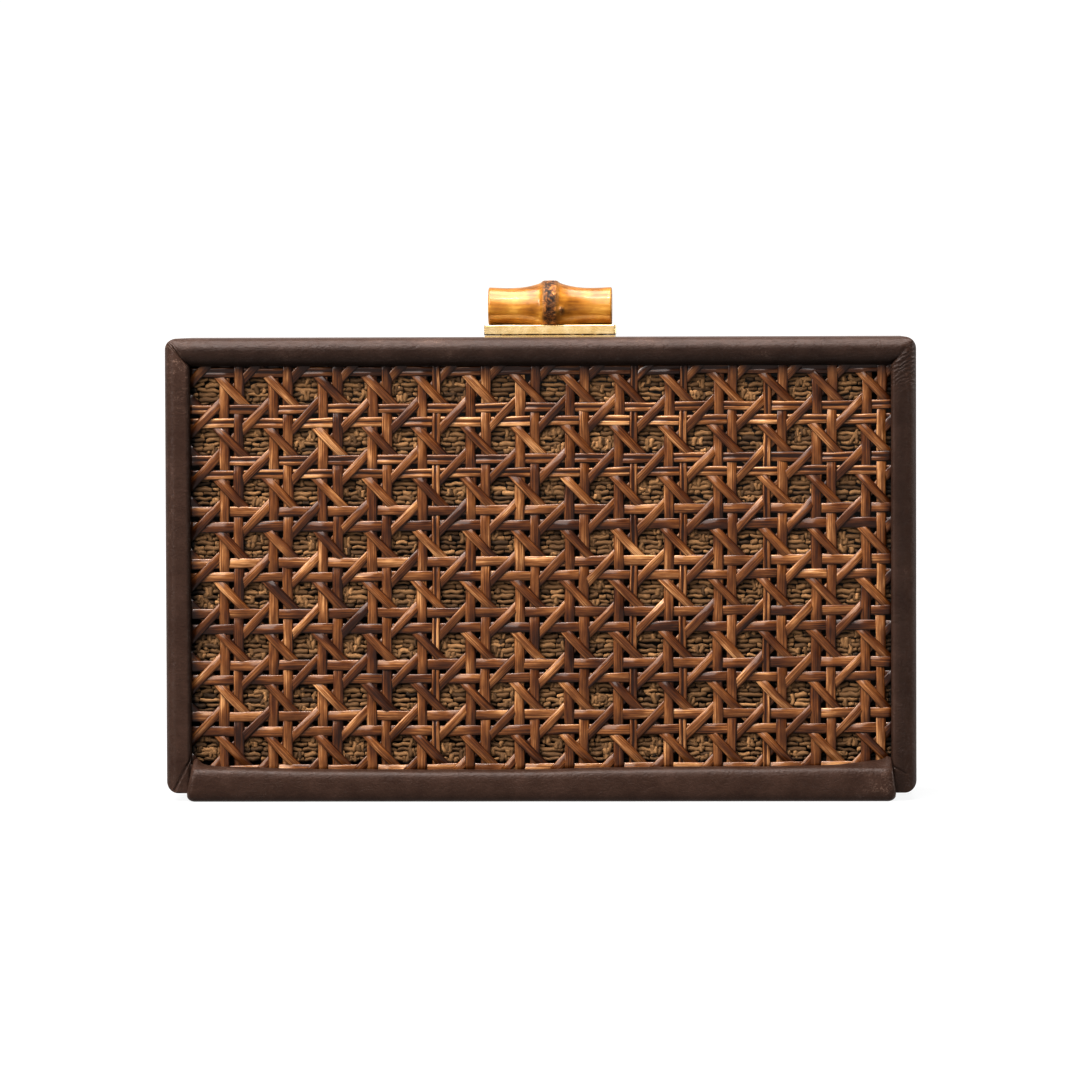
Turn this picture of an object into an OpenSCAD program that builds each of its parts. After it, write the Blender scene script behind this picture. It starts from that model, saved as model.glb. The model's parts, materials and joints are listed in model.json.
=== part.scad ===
// Basket box bag: a clamshell clutch of two leather-wrapped wooden trays with cane panels,
// hinged along the bottom seam and closed by a bamboo flip clasp.
// The front looks along -Y, +Z is up, and the origin is on the floor under the middle.

/* [Box] */
// Width over the side rails
body_w = 190; // [160:1:230]
// Height from the floor to the top rail
body_h = 117.2; // [90:0.1:150]
// Depth of one half, from the seam to the front of its rails
half_d = 25; // [20:0.5:40]
// Gap between the two halves when closed
seam_gap = 0.3; // [0.2:0.05:1]

/* [Frame] */
// Thickness of the wooden walls behind the panel
wall_t = 3; // [2.5:0.1:5]
// Thickness of the leather
leather_t = 1; // [0.6:0.1:1.2]
// Width of the side rails seen from the front
side_rail = 6.4; // [5.5:0.1:9]
// Width of the top rail seen from the front
top_rail = 7.1; // [5.5:0.1:10]
// Depth of the wooden lip in front of the panel
lip_d = 2; // [1.5:0.1:4]
// Height of the side rails' lower ends above the floor
rail_lift = 2.1; // [1.8:0.1:4]
// Rounding of the outer corners of the frame
corner_r = 2.5; // [1.5:0.1:5]
// Rounding of the rails' front edges
rail_r = 2.5; // [1.2:0.1:2.5]

/* [Bottom roll] */
// Height of the padded roll along the bottom edge
roll_h = 8.9; // [8.5:0.1:14]
// Length of the roll
roll_w = 180; // [150:1:182]
// How far the roll stands out in front of the rails
roll_proud = 3.5; // [2:0.1:6]
// How far the roll reaches back under the bottom wall
roll_under = 6; // [4:0.1:9]
// Rounding of the roll's section
roll_r = 4; // [2:0.1:4.2]
// Rounding of the roll's ends
roll_end_r = 3; // [1:0.1:4]
// Thickness of the leather tail under the bottom wall
tail_t = 0.8; // [0.5:0.1:1]

/* [Cane panel] */
// Distance between the upright strand pairs
pitch_x = 12.43; // [11:0.01:14]
// Distance between the level strand pairs
pitch_z = 12.98; // [11:0.01:14]
// Distance between the two strands of a pair
pair_gap = 3.7; // [3.2:0.05:4]
// Width of one strand
strand_w = 2.2; // [1.6:0.05:2.4]
// Thickness of the lattice wall
lattice_t = 0.8; // [0.5:0.1:1.2]
// Rise of the diagonal strands where they pass over a pair
strand_rise = 0.8; // [0.4:0.05:1.2]
// Columns of gaps
gap_columns = 15; // [8:1:15]
// Rows of gaps
gap_rows = 8; // [5:1:8]
// Sideways place of the pattern
cane_shift = 1.8; // [-3:0.1:3]
// Height of the lowest level pair above the floor
cane_base_z = 6.9; // [5:0.1:12]

/* [Panel layers] */
// Thickness of the reed mat behind the cane, without its ridges
mat_t = 0.6; // [0.4:0.1:1.2]
// Height of the reeds on the mat
reed_h = 0.6; // [0.3:0.1:1]
// Distance between reeds
reed_pitch = 1.2; // [1:0.1:4]
// Thickness of the panel board
board_t = 1.5; // [1:0.1:3]
// Thickness of the lining
lining_t = 0.6; // [0.4:0.1:1]
// Clearance round the panel layers
panel_clearance = 0.1; // [0.05:0.05:0.4]

/* [Bottom hinge] */
// Length of the hinge
hinge_len = 150; // [90:1:170]
// Number of knuckles
knuckles = 10; // [4:2:16]
// Width of each leaf from the hinge axis
leaf_w = 10; // [7:0.1:13]
// Thickness of the leaves
leaf_t = 0.6; // [0.4:0.05:0.8]
// Radius of the knuckles
knuckle_r = 1.3; // [1.1:0.05:1.35]
// Radius of the hinge pin
hinge_pin_r = 0.75; // [0.5:0.05:0.8]
// Clearance between the knuckles and what moves past them
knuckle_gap = 0.3; // [0.2:0.05:0.5]
// Screws in each leaf
leaf_screws = 5; // [2:1:7]

/* [Clasp] */
// Distance of the clasp to the right of the middle
clasp_x = 2.1; // [-10:0.1:10]
// Width of the clasp's lever plate
clasp_w = 33.5; // [28:0.1:45]
// Depth of the lever plate in front of the seam
clasp_front = 7.6; // [6.5:0.1:10]
// Distance from the seam back to the lever's pivot
pivot_y = 6.6; // [5.5:0.1:9]
// Thickness of the lever plate
lever_t = 2.4; // [2.2:0.1:4]
// Thickness of the lever plate's walls
lever_wall = 1; // [0.8:0.05:1.4]
// Thickness of the base and keeper plates
base_t = 0.5; // [0.4:0.05:1]
// Gap between the base plates and the lever plate
lever_gap = 0.2; // [0.15:0.05:0.5]
// Radius of the lever's knuckles
pivot_r = 1.1; // [1:0.05:1.15]
// Radius of the lever's pin
pivot_pin_r = 0.6; // [0.4:0.05:0.7]
// Length of the lever's own knuckle
pivot_len = 16; // [10:0.5:20]
// Length of each base knuckle
ear_len = 5; // [3:0.1:7]
// Length of the keeper rib
keeper_len = 16; // [8:0.5:24]
// Thickness of the keeper rib
keeper_t = 0.8; // [0.6:0.05:1.2]
// Clearance between keeper and lever
keeper_gap = 0.3; // [0.2:0.05:0.6]
// How far the lever's knuckle lies below the lever's top
pivot_drop = 0.15; // [0:0.05:0.2]
// How far the base plates stop short of the lever's sides
base_inset = 0.15; // [0:0.05:1]
// Metal left behind the ears and beside the screws
base_margin = 0.7; // [0.5:0.1:2]

/* [Bamboo] */
// Length of the bamboo piece
bamboo_len = 31.6; // [24:0.1:40]
// Radius at the bamboo's ends
bamboo_r = 4.9; // [4:0.05:6]
// How much the bamboo narrows between end and node
bamboo_waist = 0.3; // [0:0.05:0.8]
// How far the node stands out
node_rise = 1.9; // [0.5:0.05:2.4]
// Width of the node ring
node_w = 4.1; // [3:0.1:6]
// Depth of the flat that seats on the lever plate
bamboo_flat = 0.15; // [0.05:0.05:0.5]
// How far the bamboo swells beside the node
node_swell = 1.3; // [0:0.05:1.5]
// Distance between the screws that hold the bamboo
bamboo_screw_span = 18; // [12:0.5:22]

/* [Screws] */
// Radius of the screw shanks
screw_r = 0.7; // [0.5:0.05:0.8]
// Radius of the screw heads
screw_head_r = 1.4; // [1:0.05:1.6]
// Reach of the screws into the wood
screw_reach = 2.4; // [1.5:0.1:2.6]
// Reach of the bamboo screws into the bamboo
bamboo_reach = 3.5; // [2:0.1:5]
// Clearance of turning pins and of screws in their holes
fit = 0.03; // [0.02:0.01:0.08]

/* [Hidden] */
$fn = 48;
// Small overlap that keeps cuts and joins clean
over = 0.1;
// How sharply the bamboo's swelling dies away from the node
swell_power = 3.6;
// Share of the reed pitch where each reed's flat crest begins and ends
reed_crest = [0.3, 0.7];

// Half sizes and levels of the wooden frame
half_w = body_w / 2;
seam = seam_gap / 2;
frame_x = half_w - leather_t;
frame_top = body_h - leather_t;
frame_bottom = rail_lift + leather_t;
frame_front = half_d - leather_t;
lip_x = half_w - side_rail + leather_t;
lip_top = body_h - top_rail + leather_t;
inner_x = frame_x - wall_t;
inner_top = frame_top - wall_t;
inner_bottom = frame_bottom + wall_t;
lip_bottom = inner_bottom + leather_t;

// Depths of the panel layers, measured forward from the seam
cane_front = frame_front - lip_d;
cane_t = lattice_t + strand_rise;
mat_front = cane_front - cane_t;
board_front = mat_front - mat_t - reed_h;
lining_front = board_front - board_t;

// Weave: places of the strand pairs and gaps
cane_left = cane_shift - (gap_columns - 1) / 2 * pitch_x - pitch_x / 2;
gap_r = (min(pitch_x, pitch_z) - pair_gap - strand_w) / 2;
diagonal_len = norm([pitch_x, pitch_z]) / 2;
diagonal_turn = atan2(pitch_x, pitch_z);

// Hinge axis and leaves
axis_z = frame_bottom - knuckle_gap - knuckle_r;
leaf_bottom = frame_bottom - leaf_t;
knuckle_len = hinge_len / knuckles;
leaf_notch = knuckle_r + knuckle_gap;
leaf_screw_y = (leaf_w + leaf_notch) / 2;
leaf_screw_step = hinge_len / leaf_screws;

// Clasp levels
base_top = body_h + base_t;
lever_bottom = base_top + lever_gap;
lever_top = lever_bottom + lever_t;
lever_ceiling = lever_top - lever_wall;
pivot_z = lever_top - pivot_r - pivot_drop;
lever_back = pivot_y - pivot_r - 2 * knuckle_gap;
base_w = clasp_w - 2 * base_inset;
base_back = pivot_y + pivot_r + base_margin;
keeper_front = clasp_front - lever_wall - keeper_gap;
base_screw_x = base_w / 2 - screw_head_r - base_margin;
base_screw_y = (keeper_front - keeper_t + seam) / 2;
head_h = screw_head_r - screw_r;
bamboo_y = (lever_back - clasp_front) / 2;
bamboo_z = lever_top + bamboo_r - bamboo_flat;

leather_colour = "#45332d";
wood_colour = "#b08a5a";
cane_colour = "#8a5228";
reed_colour = "#6b5232";
lining_colour = "#8c7a60";
gold_colour = "#c9a566";
bamboo_colour = "#d29a3c";

// Placing helpers

// Outline in X and Z, extruded along Y between two depths in front of the seam
module along_y(front, back) {
    translate([0, -back, 0]) rotate([90, 0, 0]) linear_extrude(front - back) children();
}

// Outline in Y and Z, extruded along X about the middle
module along_x(length) {
    rotate([90, 0, 90]) linear_extrude(length, center = true) children();
}

// Turns the front half's pieces into the back half's
module back_half() {
    rotate([0, 0, 180]) children();
}

// Rectangle between two corners
module rect(low, high) {
    translate(low) square(high - low);
}

// Rectangle between two corners with round corners
module round_rect(low, high, r) {
    rect(low + [r, 0], high - [r, 0]);
    rect(low + [0, r], high - [0, r]);
    for (x = [low[0] + r, high[0] - r]) for (y = [low[1] + r, high[1] - r]) {
        translate([x, y]) circle(r);
    }
}

// Countersunk screw with its head's flat face at the origin and its shank along +Z
module screw(reach, gap = 0) {
    cylinder(h = reach + gap, r = screw_r + gap);
    cylinder(h = head_h, r1 = screw_head_r + gap, r2 = screw_r + gap);
}

// Screw places
module at_leaf_screws() {
    for (i = [0 : leaf_screws - 1]) {
        translate([(i - (leaf_screws - 1) / 2) * leaf_screw_step, -leaf_screw_y, leaf_bottom]) children();
    }
}

module at_base_screws(x, y) {
    for (side = [-1, 1]) {
        translate([x + side * base_screw_x, y, base_top]) rotate([180, 0, 0]) children();
    }
}

module at_bamboo_screws() {
    for (side = [-1, 1]) {
        translate([clasp_x + side * bamboo_screw_span / 2, bamboo_y, lever_ceiling - head_h]) children();
    }
}

// Trays

// Wooden ring of four walls with a lip in front of the panel and pilot holes for the screws,
// with the clasp's screws at a distance to the right
module tray_frame(screws_x) {
    color(wood_colour) difference() {
        along_y(frame_front, seam) {
            round_rect([-frame_x, frame_bottom], [frame_x, frame_top], corner_r - leather_t);
        }
        along_y(half_d, 0) rect([-lip_x, lip_bottom], [lip_x, lip_top]);
        along_y(cane_front, 0) rect([-inner_x, inner_bottom], [inner_x, inner_top]);
        at_leaf_screws() screw(leaf_t + screw_reach, fit);
        at_base_screws(screws_x, -base_screw_y) screw(base_t + leather_t + screw_reach, fit);
    }
}

// Section of a wrapped rail: x runs inward from the outer face, y is minus the depth
module rail_section(width) {
    difference() {
        union() {
            rect([rail_r, -half_d], [width - rail_r, -cane_front]);
            rect([0, rail_r - half_d], [width, -cane_front]);
            rect([0, rail_r - half_d], [leather_t, -seam]);
            for (x = [rail_r, width - rail_r]) translate([x, rail_r - half_d]) circle(rail_r);
        }
        rect([leather_t, -frame_front], [width - leather_t, over]);
        rect([leather_t, -cane_front], [width + over, over]);
    }
}

// Front outline of the leather frame
module leather_outline() {
    round_rect([-half_w, rail_lift], [half_w, body_h], corner_r);
}

// Leather over the top wall, mitred to the side rails, with the clasp's screws at a distance to the right
module top_leather(screws_x) {
    color(leather_colour) difference() {
        intersection() {
            along_x(body_w) translate([0, body_h]) rotate(-90) rail_section(top_rail);
            along_y(half_d, seam) intersection() {
                leather_outline();
                polygon([
                    [-half_w, body_h],
                    [half_w, body_h],
                    [half_w - side_rail, body_h - top_rail],
                    [side_rail - half_w, body_h - top_rail]
                ]);
            }
        }
        at_base_screws(screws_x, -base_screw_y) screw(base_t + leather_t + screw_reach, fit);
    }
}

// Leather over the left wall, closed under the wall's lower end and cut away round the bottom wall
module left_leather() {
    color(leather_colour) difference() {
        intersection() {
            union() {
                translate([-half_w, 0, rail_lift]) linear_extrude(body_h - rail_lift) rail_section(side_rail);
                along_y(half_d - rail_r, seam) rect([-half_w, rail_lift], [-roll_w / 2, frame_bottom]);
            }
            along_y(half_d, seam) intersection() {
                leather_outline();
                polygon([
                    [-half_w, body_h],
                    [side_rail - half_w, body_h - top_rail],
                    [side_rail - half_w, rail_lift],
                    [-half_w, rail_lift]
                ]);
            }
        }
        along_y(frame_front, 0) rect([-frame_x, frame_bottom], [0, lip_bottom]);
    }
}

module right_leather() {
    mirror([1, 0, 0]) left_leather();
}

// Padded leather roll that wraps the bottom edge, with a tail under the wall up to the hinge leaf
module bottom_roll() {
    roll_front = half_d + roll_proud;
    roll_back = half_d - roll_under;
    rail_inner = half_w - side_rail;
    color(leather_colour) difference() {
        union() {
            intersection() {
                along_x(roll_w) round_rect([-roll_front, 0], [-roll_back, roll_h], roll_r);
                along_y(roll_front, roll_back) {
                    round_rect([-roll_w / 2, 0], [roll_w / 2, roll_h], roll_end_r);
                }
            }
            along_y(roll_back + roll_r, leaf_w + knuckle_gap) {
                rect([-rail_inner, frame_bottom - tail_t], [rail_inner, frame_bottom]);
            }
        }
        along_y(frame_front, 0) rect([-half_w, frame_bottom], [half_w, lip_bottom]);
        along_y(cane_front, 0) rect([-half_w, inner_bottom], [half_w, roll_h + over]);
        for (side = [0, 1]) mirror([side, 0, 0]) along_y(half_d, 0) {
            rect([rail_inner, -over], [half_w, roll_h + over]);
        }
    }
}

// Panels

// Outline that the panel layers fill
module panel_outline() {
    rect(
        [panel_clearance - inner_x, inner_bottom + panel_clearance],
        [inner_x - panel_clearance, inner_top - panel_clearance]
    );
}

// One stretch of diagonal strand
module diagonal_bar(turn) {
    rotate(turn) square([strand_w, diagonal_len], center = true);
}

// Diagonal strands where they pass over: one way over the upright pairs, the other over the level pairs
module diagonal_bars() {
    for (i = [0 : gap_columns]) for (j = [0 : gap_rows]) {
        x = cane_left + i * pitch_x;
        z = cane_base_z + j * pitch_z;
        translate([x, z - pitch_z / 2]) diagonal_bar(diagonal_turn);
        translate([x - pitch_x / 2, z]) diagonal_bar(-diagonal_turn);
    }
}

// Octagonal gaps between the strand pairs
module octagons() {
    for (i = [0 : gap_columns - 1]) for (j = [0 : gap_rows - 1]) {
        translate([cane_left + (i + 0.5) * pitch_x, cane_base_z + (j + 0.5) * pitch_z]) {
            rotate(180 / 8) circle(gap_r / cos(180 / 8), $fn = 8);
        }
    }
}

// Six-way cane webbing: a lattice wall with octagonal gaps, and the over-passing diagonals as ridges
module cane_panel() {
    lattice_back = cane_front - cane_t;
    color(cane_colour) union() {
        along_y(lattice_back + lattice_t, lattice_back) offset(delta = fit) difference() {
            offset(delta = -fit) panel_outline();
            octagons();
        }
        along_y(cane_front, lattice_back + lattice_t / 2) offset(delta = -fit) intersection() {
            panel_outline();
            diagonal_bars();
        }
    }
}

// Mat of level reeds on a flat ground
module reed_mat() {
    low = inner_bottom + panel_clearance;
    high = inner_top - panel_clearance;
    reeds = floor((high - low) / reed_pitch);
    color(reed_colour) along_x(2 * (inner_x - panel_clearance)) polygon(concat(
        [[-board_front, low]],
        [for (i = [0 : reeds - 1]) each [
            [-board_front - mat_t, low + i * reed_pitch],
            for (share = reed_crest) [-mat_front, low + (i + share) * reed_pitch]
        ]],
        [[-board_front - mat_t, low + reeds * reed_pitch], [-board_front, low + reeds * reed_pitch]]
    ));
}

module panel_board() {
    color(wood_colour) along_y(board_front, lining_front) panel_outline();
}

// Lining of the tray's inside
module lining() {
    color(lining_colour) difference() {
        along_y(lining_front, seam) rect([-inner_x, inner_bottom], [inner_x, inner_top]);
        along_y(lining_front - lining_t, 0) {
            rect(
                [lining_t - inner_x, inner_bottom + lining_t],
                [inner_x - lining_t, inner_top - lining_t]
            );
        }
    }
}

// Hinge

// Leaf under the front bottom wall with the knuckles that start at one end
module hinge_leaf(first) {
    color(gold_colour) difference() {
        union() {
            along_y(leaf_w, leaf_notch) {
                rect([-hinge_len / 2, leaf_bottom], [hinge_len / 2, frame_bottom]);
            }
            for (i = [first : 2 : knuckles - 1]) {
                left = -hinge_len / 2 + i * knuckle_len + knuckle_gap / 2;
                right = left + knuckle_len - knuckle_gap;
                along_y(leaf_notch + over, 0) rect([left, leaf_bottom], [right, frame_bottom]);
                translate([left, 0, axis_z]) rotate([0, 90, 0]) cylinder(h = right - left, r = knuckle_r);
                along_y(knuckle_r, 0) rect([left, axis_z], [right, leaf_bottom + over]);
            }
        }
        translate([-half_w, 0, axis_z]) rotate([0, 90, 0]) cylinder(h = body_w, r = hinge_pin_r + fit);
        at_leaf_screws() screw(leaf_t + screw_reach, fit);
    }
}

module hinge_pin() {
    color(gold_colour) translate([-hinge_len / 2, 0, axis_z]) rotate([0, 90, 0]) {
        cylinder(h = hinge_len, r = hinge_pin_r);
    }
}

module hinge_screws() {
    color(gold_colour) at_leaf_screws() screw(leaf_t + screw_reach);
}

// Clasp

// Pin hole or pin along the lever's pivot
module pivot_rod(length, r) {
    translate([clasp_x - length / 2, pivot_y, pivot_z]) rotate([0, 90, 0]) cylinder(h = length, r = r);
}

// Base plate on the back half's top with two ears that hold the pin
module clasp_base() {
    ear_start = pivot_len / 2 + knuckle_gap;
    color(gold_colour) difference() {
        union() {
            translate([clasp_x - base_w / 2, seam, body_h]) cube([base_w, base_back - seam, base_t]);
            for (ear_x = [ear_start, -ear_start - ear_len]) {
                translate([ear_x + ear_len / 2, 0, 0]) pivot_rod(ear_len, pivot_r);
                translate([clasp_x + ear_x, pivot_y - pivot_r / 2, base_top - base_t / 2]) {
                    cube([ear_len, pivot_r, pivot_z - base_top + base_t / 2]);
                }
            }
        }
        pivot_rod(body_w, pivot_pin_r + fit);
        at_base_screws(clasp_x, base_screw_y) screw(base_t + leather_t + screw_reach, fit);
    }
}

module clasp_pin() {
    color(gold_colour) pivot_rod(pivot_len + 2 * (knuckle_gap + ear_len), pivot_pin_r);
}

// Plate on the front half's top with the rib that the lever's lip hooks over
module keeper_plate() {
    rib_h = lever_ceiling - keeper_gap - body_h;
    color(gold_colour) difference() {
        union() {
            translate([clasp_x - base_w / 2, -clasp_front, body_h]) cube([base_w, clasp_front - seam, base_t]);
            translate([clasp_x - keeper_len / 2, -keeper_front, body_h]) cube([keeper_len, keeper_t, rib_h]);
        }
        at_base_screws(clasp_x, -base_screw_y) screw(base_t + leather_t + screw_reach, fit);
    }
}

module base_screws(y) {
    color(gold_colour) at_base_screws(clasp_x, y) screw(base_t + leather_t + screw_reach);
}

// Lever: an upside-down tray whose front wall is the catch, with a knuckle at the back
module clasp_lever() {
    color(gold_colour) difference() {
        union() {
            translate([clasp_x - clasp_w / 2, -clasp_front, lever_bottom]) {
                cube([clasp_w, lever_back + clasp_front, lever_t]);
            }
            pivot_rod(pivot_len, pivot_r);
            translate([clasp_x - pivot_len / 2, lever_back - over, pivot_z]) {
                cube([pivot_len, pivot_y - lever_back + over, pivot_r]);
            }
        }
        translate([clasp_x + lever_wall - clasp_w / 2, lever_wall - clasp_front, lever_bottom - over]) {
            cube([clasp_w - 2 * lever_wall, lever_back + clasp_front, lever_ceiling - lever_bottom + over]);
        }
        pivot_rod(body_w, pivot_pin_r + fit);
        at_bamboo_screws() screw(head_h + lever_wall + bamboo_reach, fit);
    }
}

// Radius of the bamboo at a distance from its middle
function bamboo_radius(x) = let(
    along = min(1, max(0, (x - node_w / 2) / (bamboo_len / 2 - node_w / 2)))
) bamboo_r - bamboo_waist * sin(180 * along) + node_swell * pow(1 - along, swell_power);

// Bamboo piece with a raised node ring, planed flat where it seats on the lever
module clasp_bamboo() {
    steps = 14;
    node_r = bamboo_r + node_rise;
    step = (bamboo_len - node_w) / 2 / steps;
    half_profile = [for (k = [0 : steps]) let(x = node_w / 2 + k * step) [bamboo_radius(x), x]];
    profile = concat(
        [[0, -bamboo_len / 2]],
        [for (k = [steps : -1 : 0]) [half_profile[k][0], -half_profile[k][1]]],
        [[node_r, -node_w / 4], [node_r, node_w / 4]],
        half_profile,
        [[0, bamboo_len / 2]]
    );
    color(bamboo_colour) difference() {
        translate([clasp_x, bamboo_y, bamboo_z]) rotate([0, 90, 0]) rotate_extrude() polygon(profile);
        translate([-clasp_w, bamboo_y - clasp_w, lever_top - clasp_w]) {
            cube([2 * clasp_w, 2 * clasp_w, clasp_w]);
        }
        at_bamboo_screws() screw(head_h + lever_wall + bamboo_reach, fit);
    }
}

module bamboo_screws() {
    color(gold_colour) at_bamboo_screws() screw(head_h + lever_wall + bamboo_reach);
}

tray_frame(clasp_x);  // front_frame
top_leather(clasp_x);  // front_top_leather
left_leather();  // front_left_leather
right_leather();  // front_right_leather
bottom_roll();  // front_bottom_roll
cane_panel();  // front_cane_panel
reed_mat();  // front_reed_mat
panel_board();  // front_panel_board
lining();  // front_lining
back_half() tray_frame(-clasp_x);  // back_frame
back_half() top_leather(-clasp_x);  // back_top_leather
back_half() right_leather();  // back_left_leather
back_half() left_leather();  // back_right_leather
back_half() bottom_roll();  // back_bottom_roll
back_half() cane_panel();  // back_cane_panel
back_half() reed_mat();  // back_reed_mat
back_half() panel_board();  // back_panel_board
back_half() lining();  // back_lining
hinge_leaf(0);  // hinge_front_leaf
back_half() hinge_leaf(0);  // hinge_back_leaf
hinge_pin();
hinge_screws();  // front_hinge_screws
back_half() hinge_screws();  // back_hinge_screws
clasp_base();
base_screws(base_screw_y);  // clasp_base_screws
clasp_pin();
keeper_plate();
base_screws(-base_screw_y);  // keeper_screws
clasp_lever();
clasp_bamboo();
bamboo_screws();
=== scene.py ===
"""Basket box bag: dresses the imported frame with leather, woven cane, raffia, bamboo and gold plate."""
import json
import logging
import math
from collections.abc import Callable
from dataclasses import dataclass, field
from enum import Enum
from functools import partial
from typing import Any, ClassVar

import bmesh
import bpy
import numpy as np
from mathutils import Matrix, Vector


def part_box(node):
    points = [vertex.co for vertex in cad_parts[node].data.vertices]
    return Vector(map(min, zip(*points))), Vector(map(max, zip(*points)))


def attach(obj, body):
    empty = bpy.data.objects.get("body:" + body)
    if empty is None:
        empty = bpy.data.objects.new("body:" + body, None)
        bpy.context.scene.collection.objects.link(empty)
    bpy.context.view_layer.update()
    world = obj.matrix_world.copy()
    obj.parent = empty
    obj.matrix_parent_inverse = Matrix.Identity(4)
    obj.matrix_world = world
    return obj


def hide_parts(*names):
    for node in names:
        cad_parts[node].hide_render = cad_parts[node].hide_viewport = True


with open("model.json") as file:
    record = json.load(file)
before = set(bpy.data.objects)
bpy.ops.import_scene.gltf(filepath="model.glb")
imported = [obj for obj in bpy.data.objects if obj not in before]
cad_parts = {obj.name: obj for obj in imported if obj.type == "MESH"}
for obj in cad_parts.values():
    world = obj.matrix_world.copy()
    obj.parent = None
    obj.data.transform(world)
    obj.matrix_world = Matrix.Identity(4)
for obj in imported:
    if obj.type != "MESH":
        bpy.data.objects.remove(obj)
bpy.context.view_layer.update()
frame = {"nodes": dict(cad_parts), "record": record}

MM = 0.001
TURN = 2 * math.pi
LOG = logging.getLogger("box_bag")
Array = np.ndarray
Adder = Callable[..., bpy.types.Node]
BOX_QUADS = [[0, 1, 2, 3], [4, 5, 6, 7], [0, 1, 5, 4], [1, 2, 6, 5], [2, 3, 7, 6], [3, 0, 4, 7]]


class Half(Enum):
    """The two trays of the bag."""

    FRONT = "front"
    BACK = "back"

    @property
    def body(self) -> str:
        """Name of the body that carries this half."""
        return f"{self.value}_half"

    def place(self, points: Array) -> Array:
        """Turns points modelled for the front half to this half.

        Args:
            points: Points in millimetres, with x, y and z on the last axis.

        Returns:
            The same points, turned half a turn about Z for the back half.
        """
        turn = 1.0 if self is Half.FRONT else -1.0
        return points * np.array([turn, turn, 1.0])


class Peel(Enum):
    """Face of a split cane strand."""

    FLAT = "flat"
    GROOVED = "grooved"


class Rail(Enum):
    """The three wrapped rails of a tray, seen from its own front."""

    TOP = "top"
    LEFT = "left"
    RIGHT = "right"


def node_box(node: str) -> tuple[Array, Array]:
    """Lowest and highest corner of a CAD node.

    Args:
        node: Name of the node.

    Returns:
        Both corners in millimetres.
    """
    low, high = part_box(node)
    return np.array(low) / MM, np.array(high) / MM


def linear(colour: str) -> tuple[float, float, float, float]:
    """Turns an sRGB hex colour into linear RGBA.

    Args:
        colour: Colour as "#rrggbb".

    Returns:
        Linear red, green and blue with full alpha.
    """
    parts = [int(colour[i:i + 2], 16) / 255 for i in (1, 3, 5)]
    red, green, blue = (c / 12.92 if c <= 0.04045 else ((c + 0.055) / 1.055) ** 2.4 for c in parts)
    return red, green, blue, 1.0


def per_mm(*sizes_mm: float) -> Any:
    """Scale of a texture on Object coordinates in metres, from the size of its features.

    Args:
        sizes_mm: Size of a feature, or its three sizes along the axes.

    Returns:
        One scale, or three.
    """
    scales = tuple(1.0 / (size * MM) for size in sizes_mm)
    return scales if len(scales) > 1 else scales[0]


def add(tree: bpy.types.NodeTree, kind: str, links: dict[str, Any] | None = None,
        stops: list[tuple[float, str]] | None = None, **settings: Any) -> bpy.types.Node:
    """Adds one node with its settings, values and links.

    Args:
        tree: Node tree that gets the node.
        kind: Type of the node, without its common beginning.
        links: Input name or index to a value, to the output that feeds it, or to a node whose first output does.
        stops: Places and hex colours of a colour ramp.
        settings: Properties of the node.

    Returns:
        The new node.
    """
    node = tree.nodes.new(f"ShaderNode{kind}")
    for name, value in settings.items():
        setattr(node, name, value)
    for name, value in (links or {}).items():
        source = value.outputs[0] if isinstance(value, bpy.types.Node) else value
        if isinstance(source, bpy.types.NodeSocket):
            tree.links.new(source, node.inputs[name])
        else:
            node.inputs[name].default_value = source
    if stops:
        elements = node.color_ramp.elements
        while len(elements) < len(stops):
            elements.new(1.0)
        for element, (place, colour) in zip(elements, stops):
            element.position = place
            element.color = linear(colour)
    return node


@dataclass(frozen=True)
class Finish:
    """A material: its name, and the values and links of its Principled shader."""

    name: ClassVar[str]

    def sockets(self, node: Adder) -> dict[str, Any]:
        """Adds the nodes that feed the shader.

        Args:
            node: The function that adds a node to this material.

        Returns:
            Name of each shader input to its value or to what feeds it.
        """
        raise NotImplementedError

    def build(self) -> bpy.types.Material:
        """Makes the material."""
        material = bpy.data.materials.new(self.name)
        material.use_nodes = True
        tree = material.node_tree
        tree.nodes.clear()
        shader = add(tree, "BsdfPrincipled", self.sockets(partial(add, tree)))
        add(tree, "OutputMaterial", {"Surface": shader})
        return material


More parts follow.
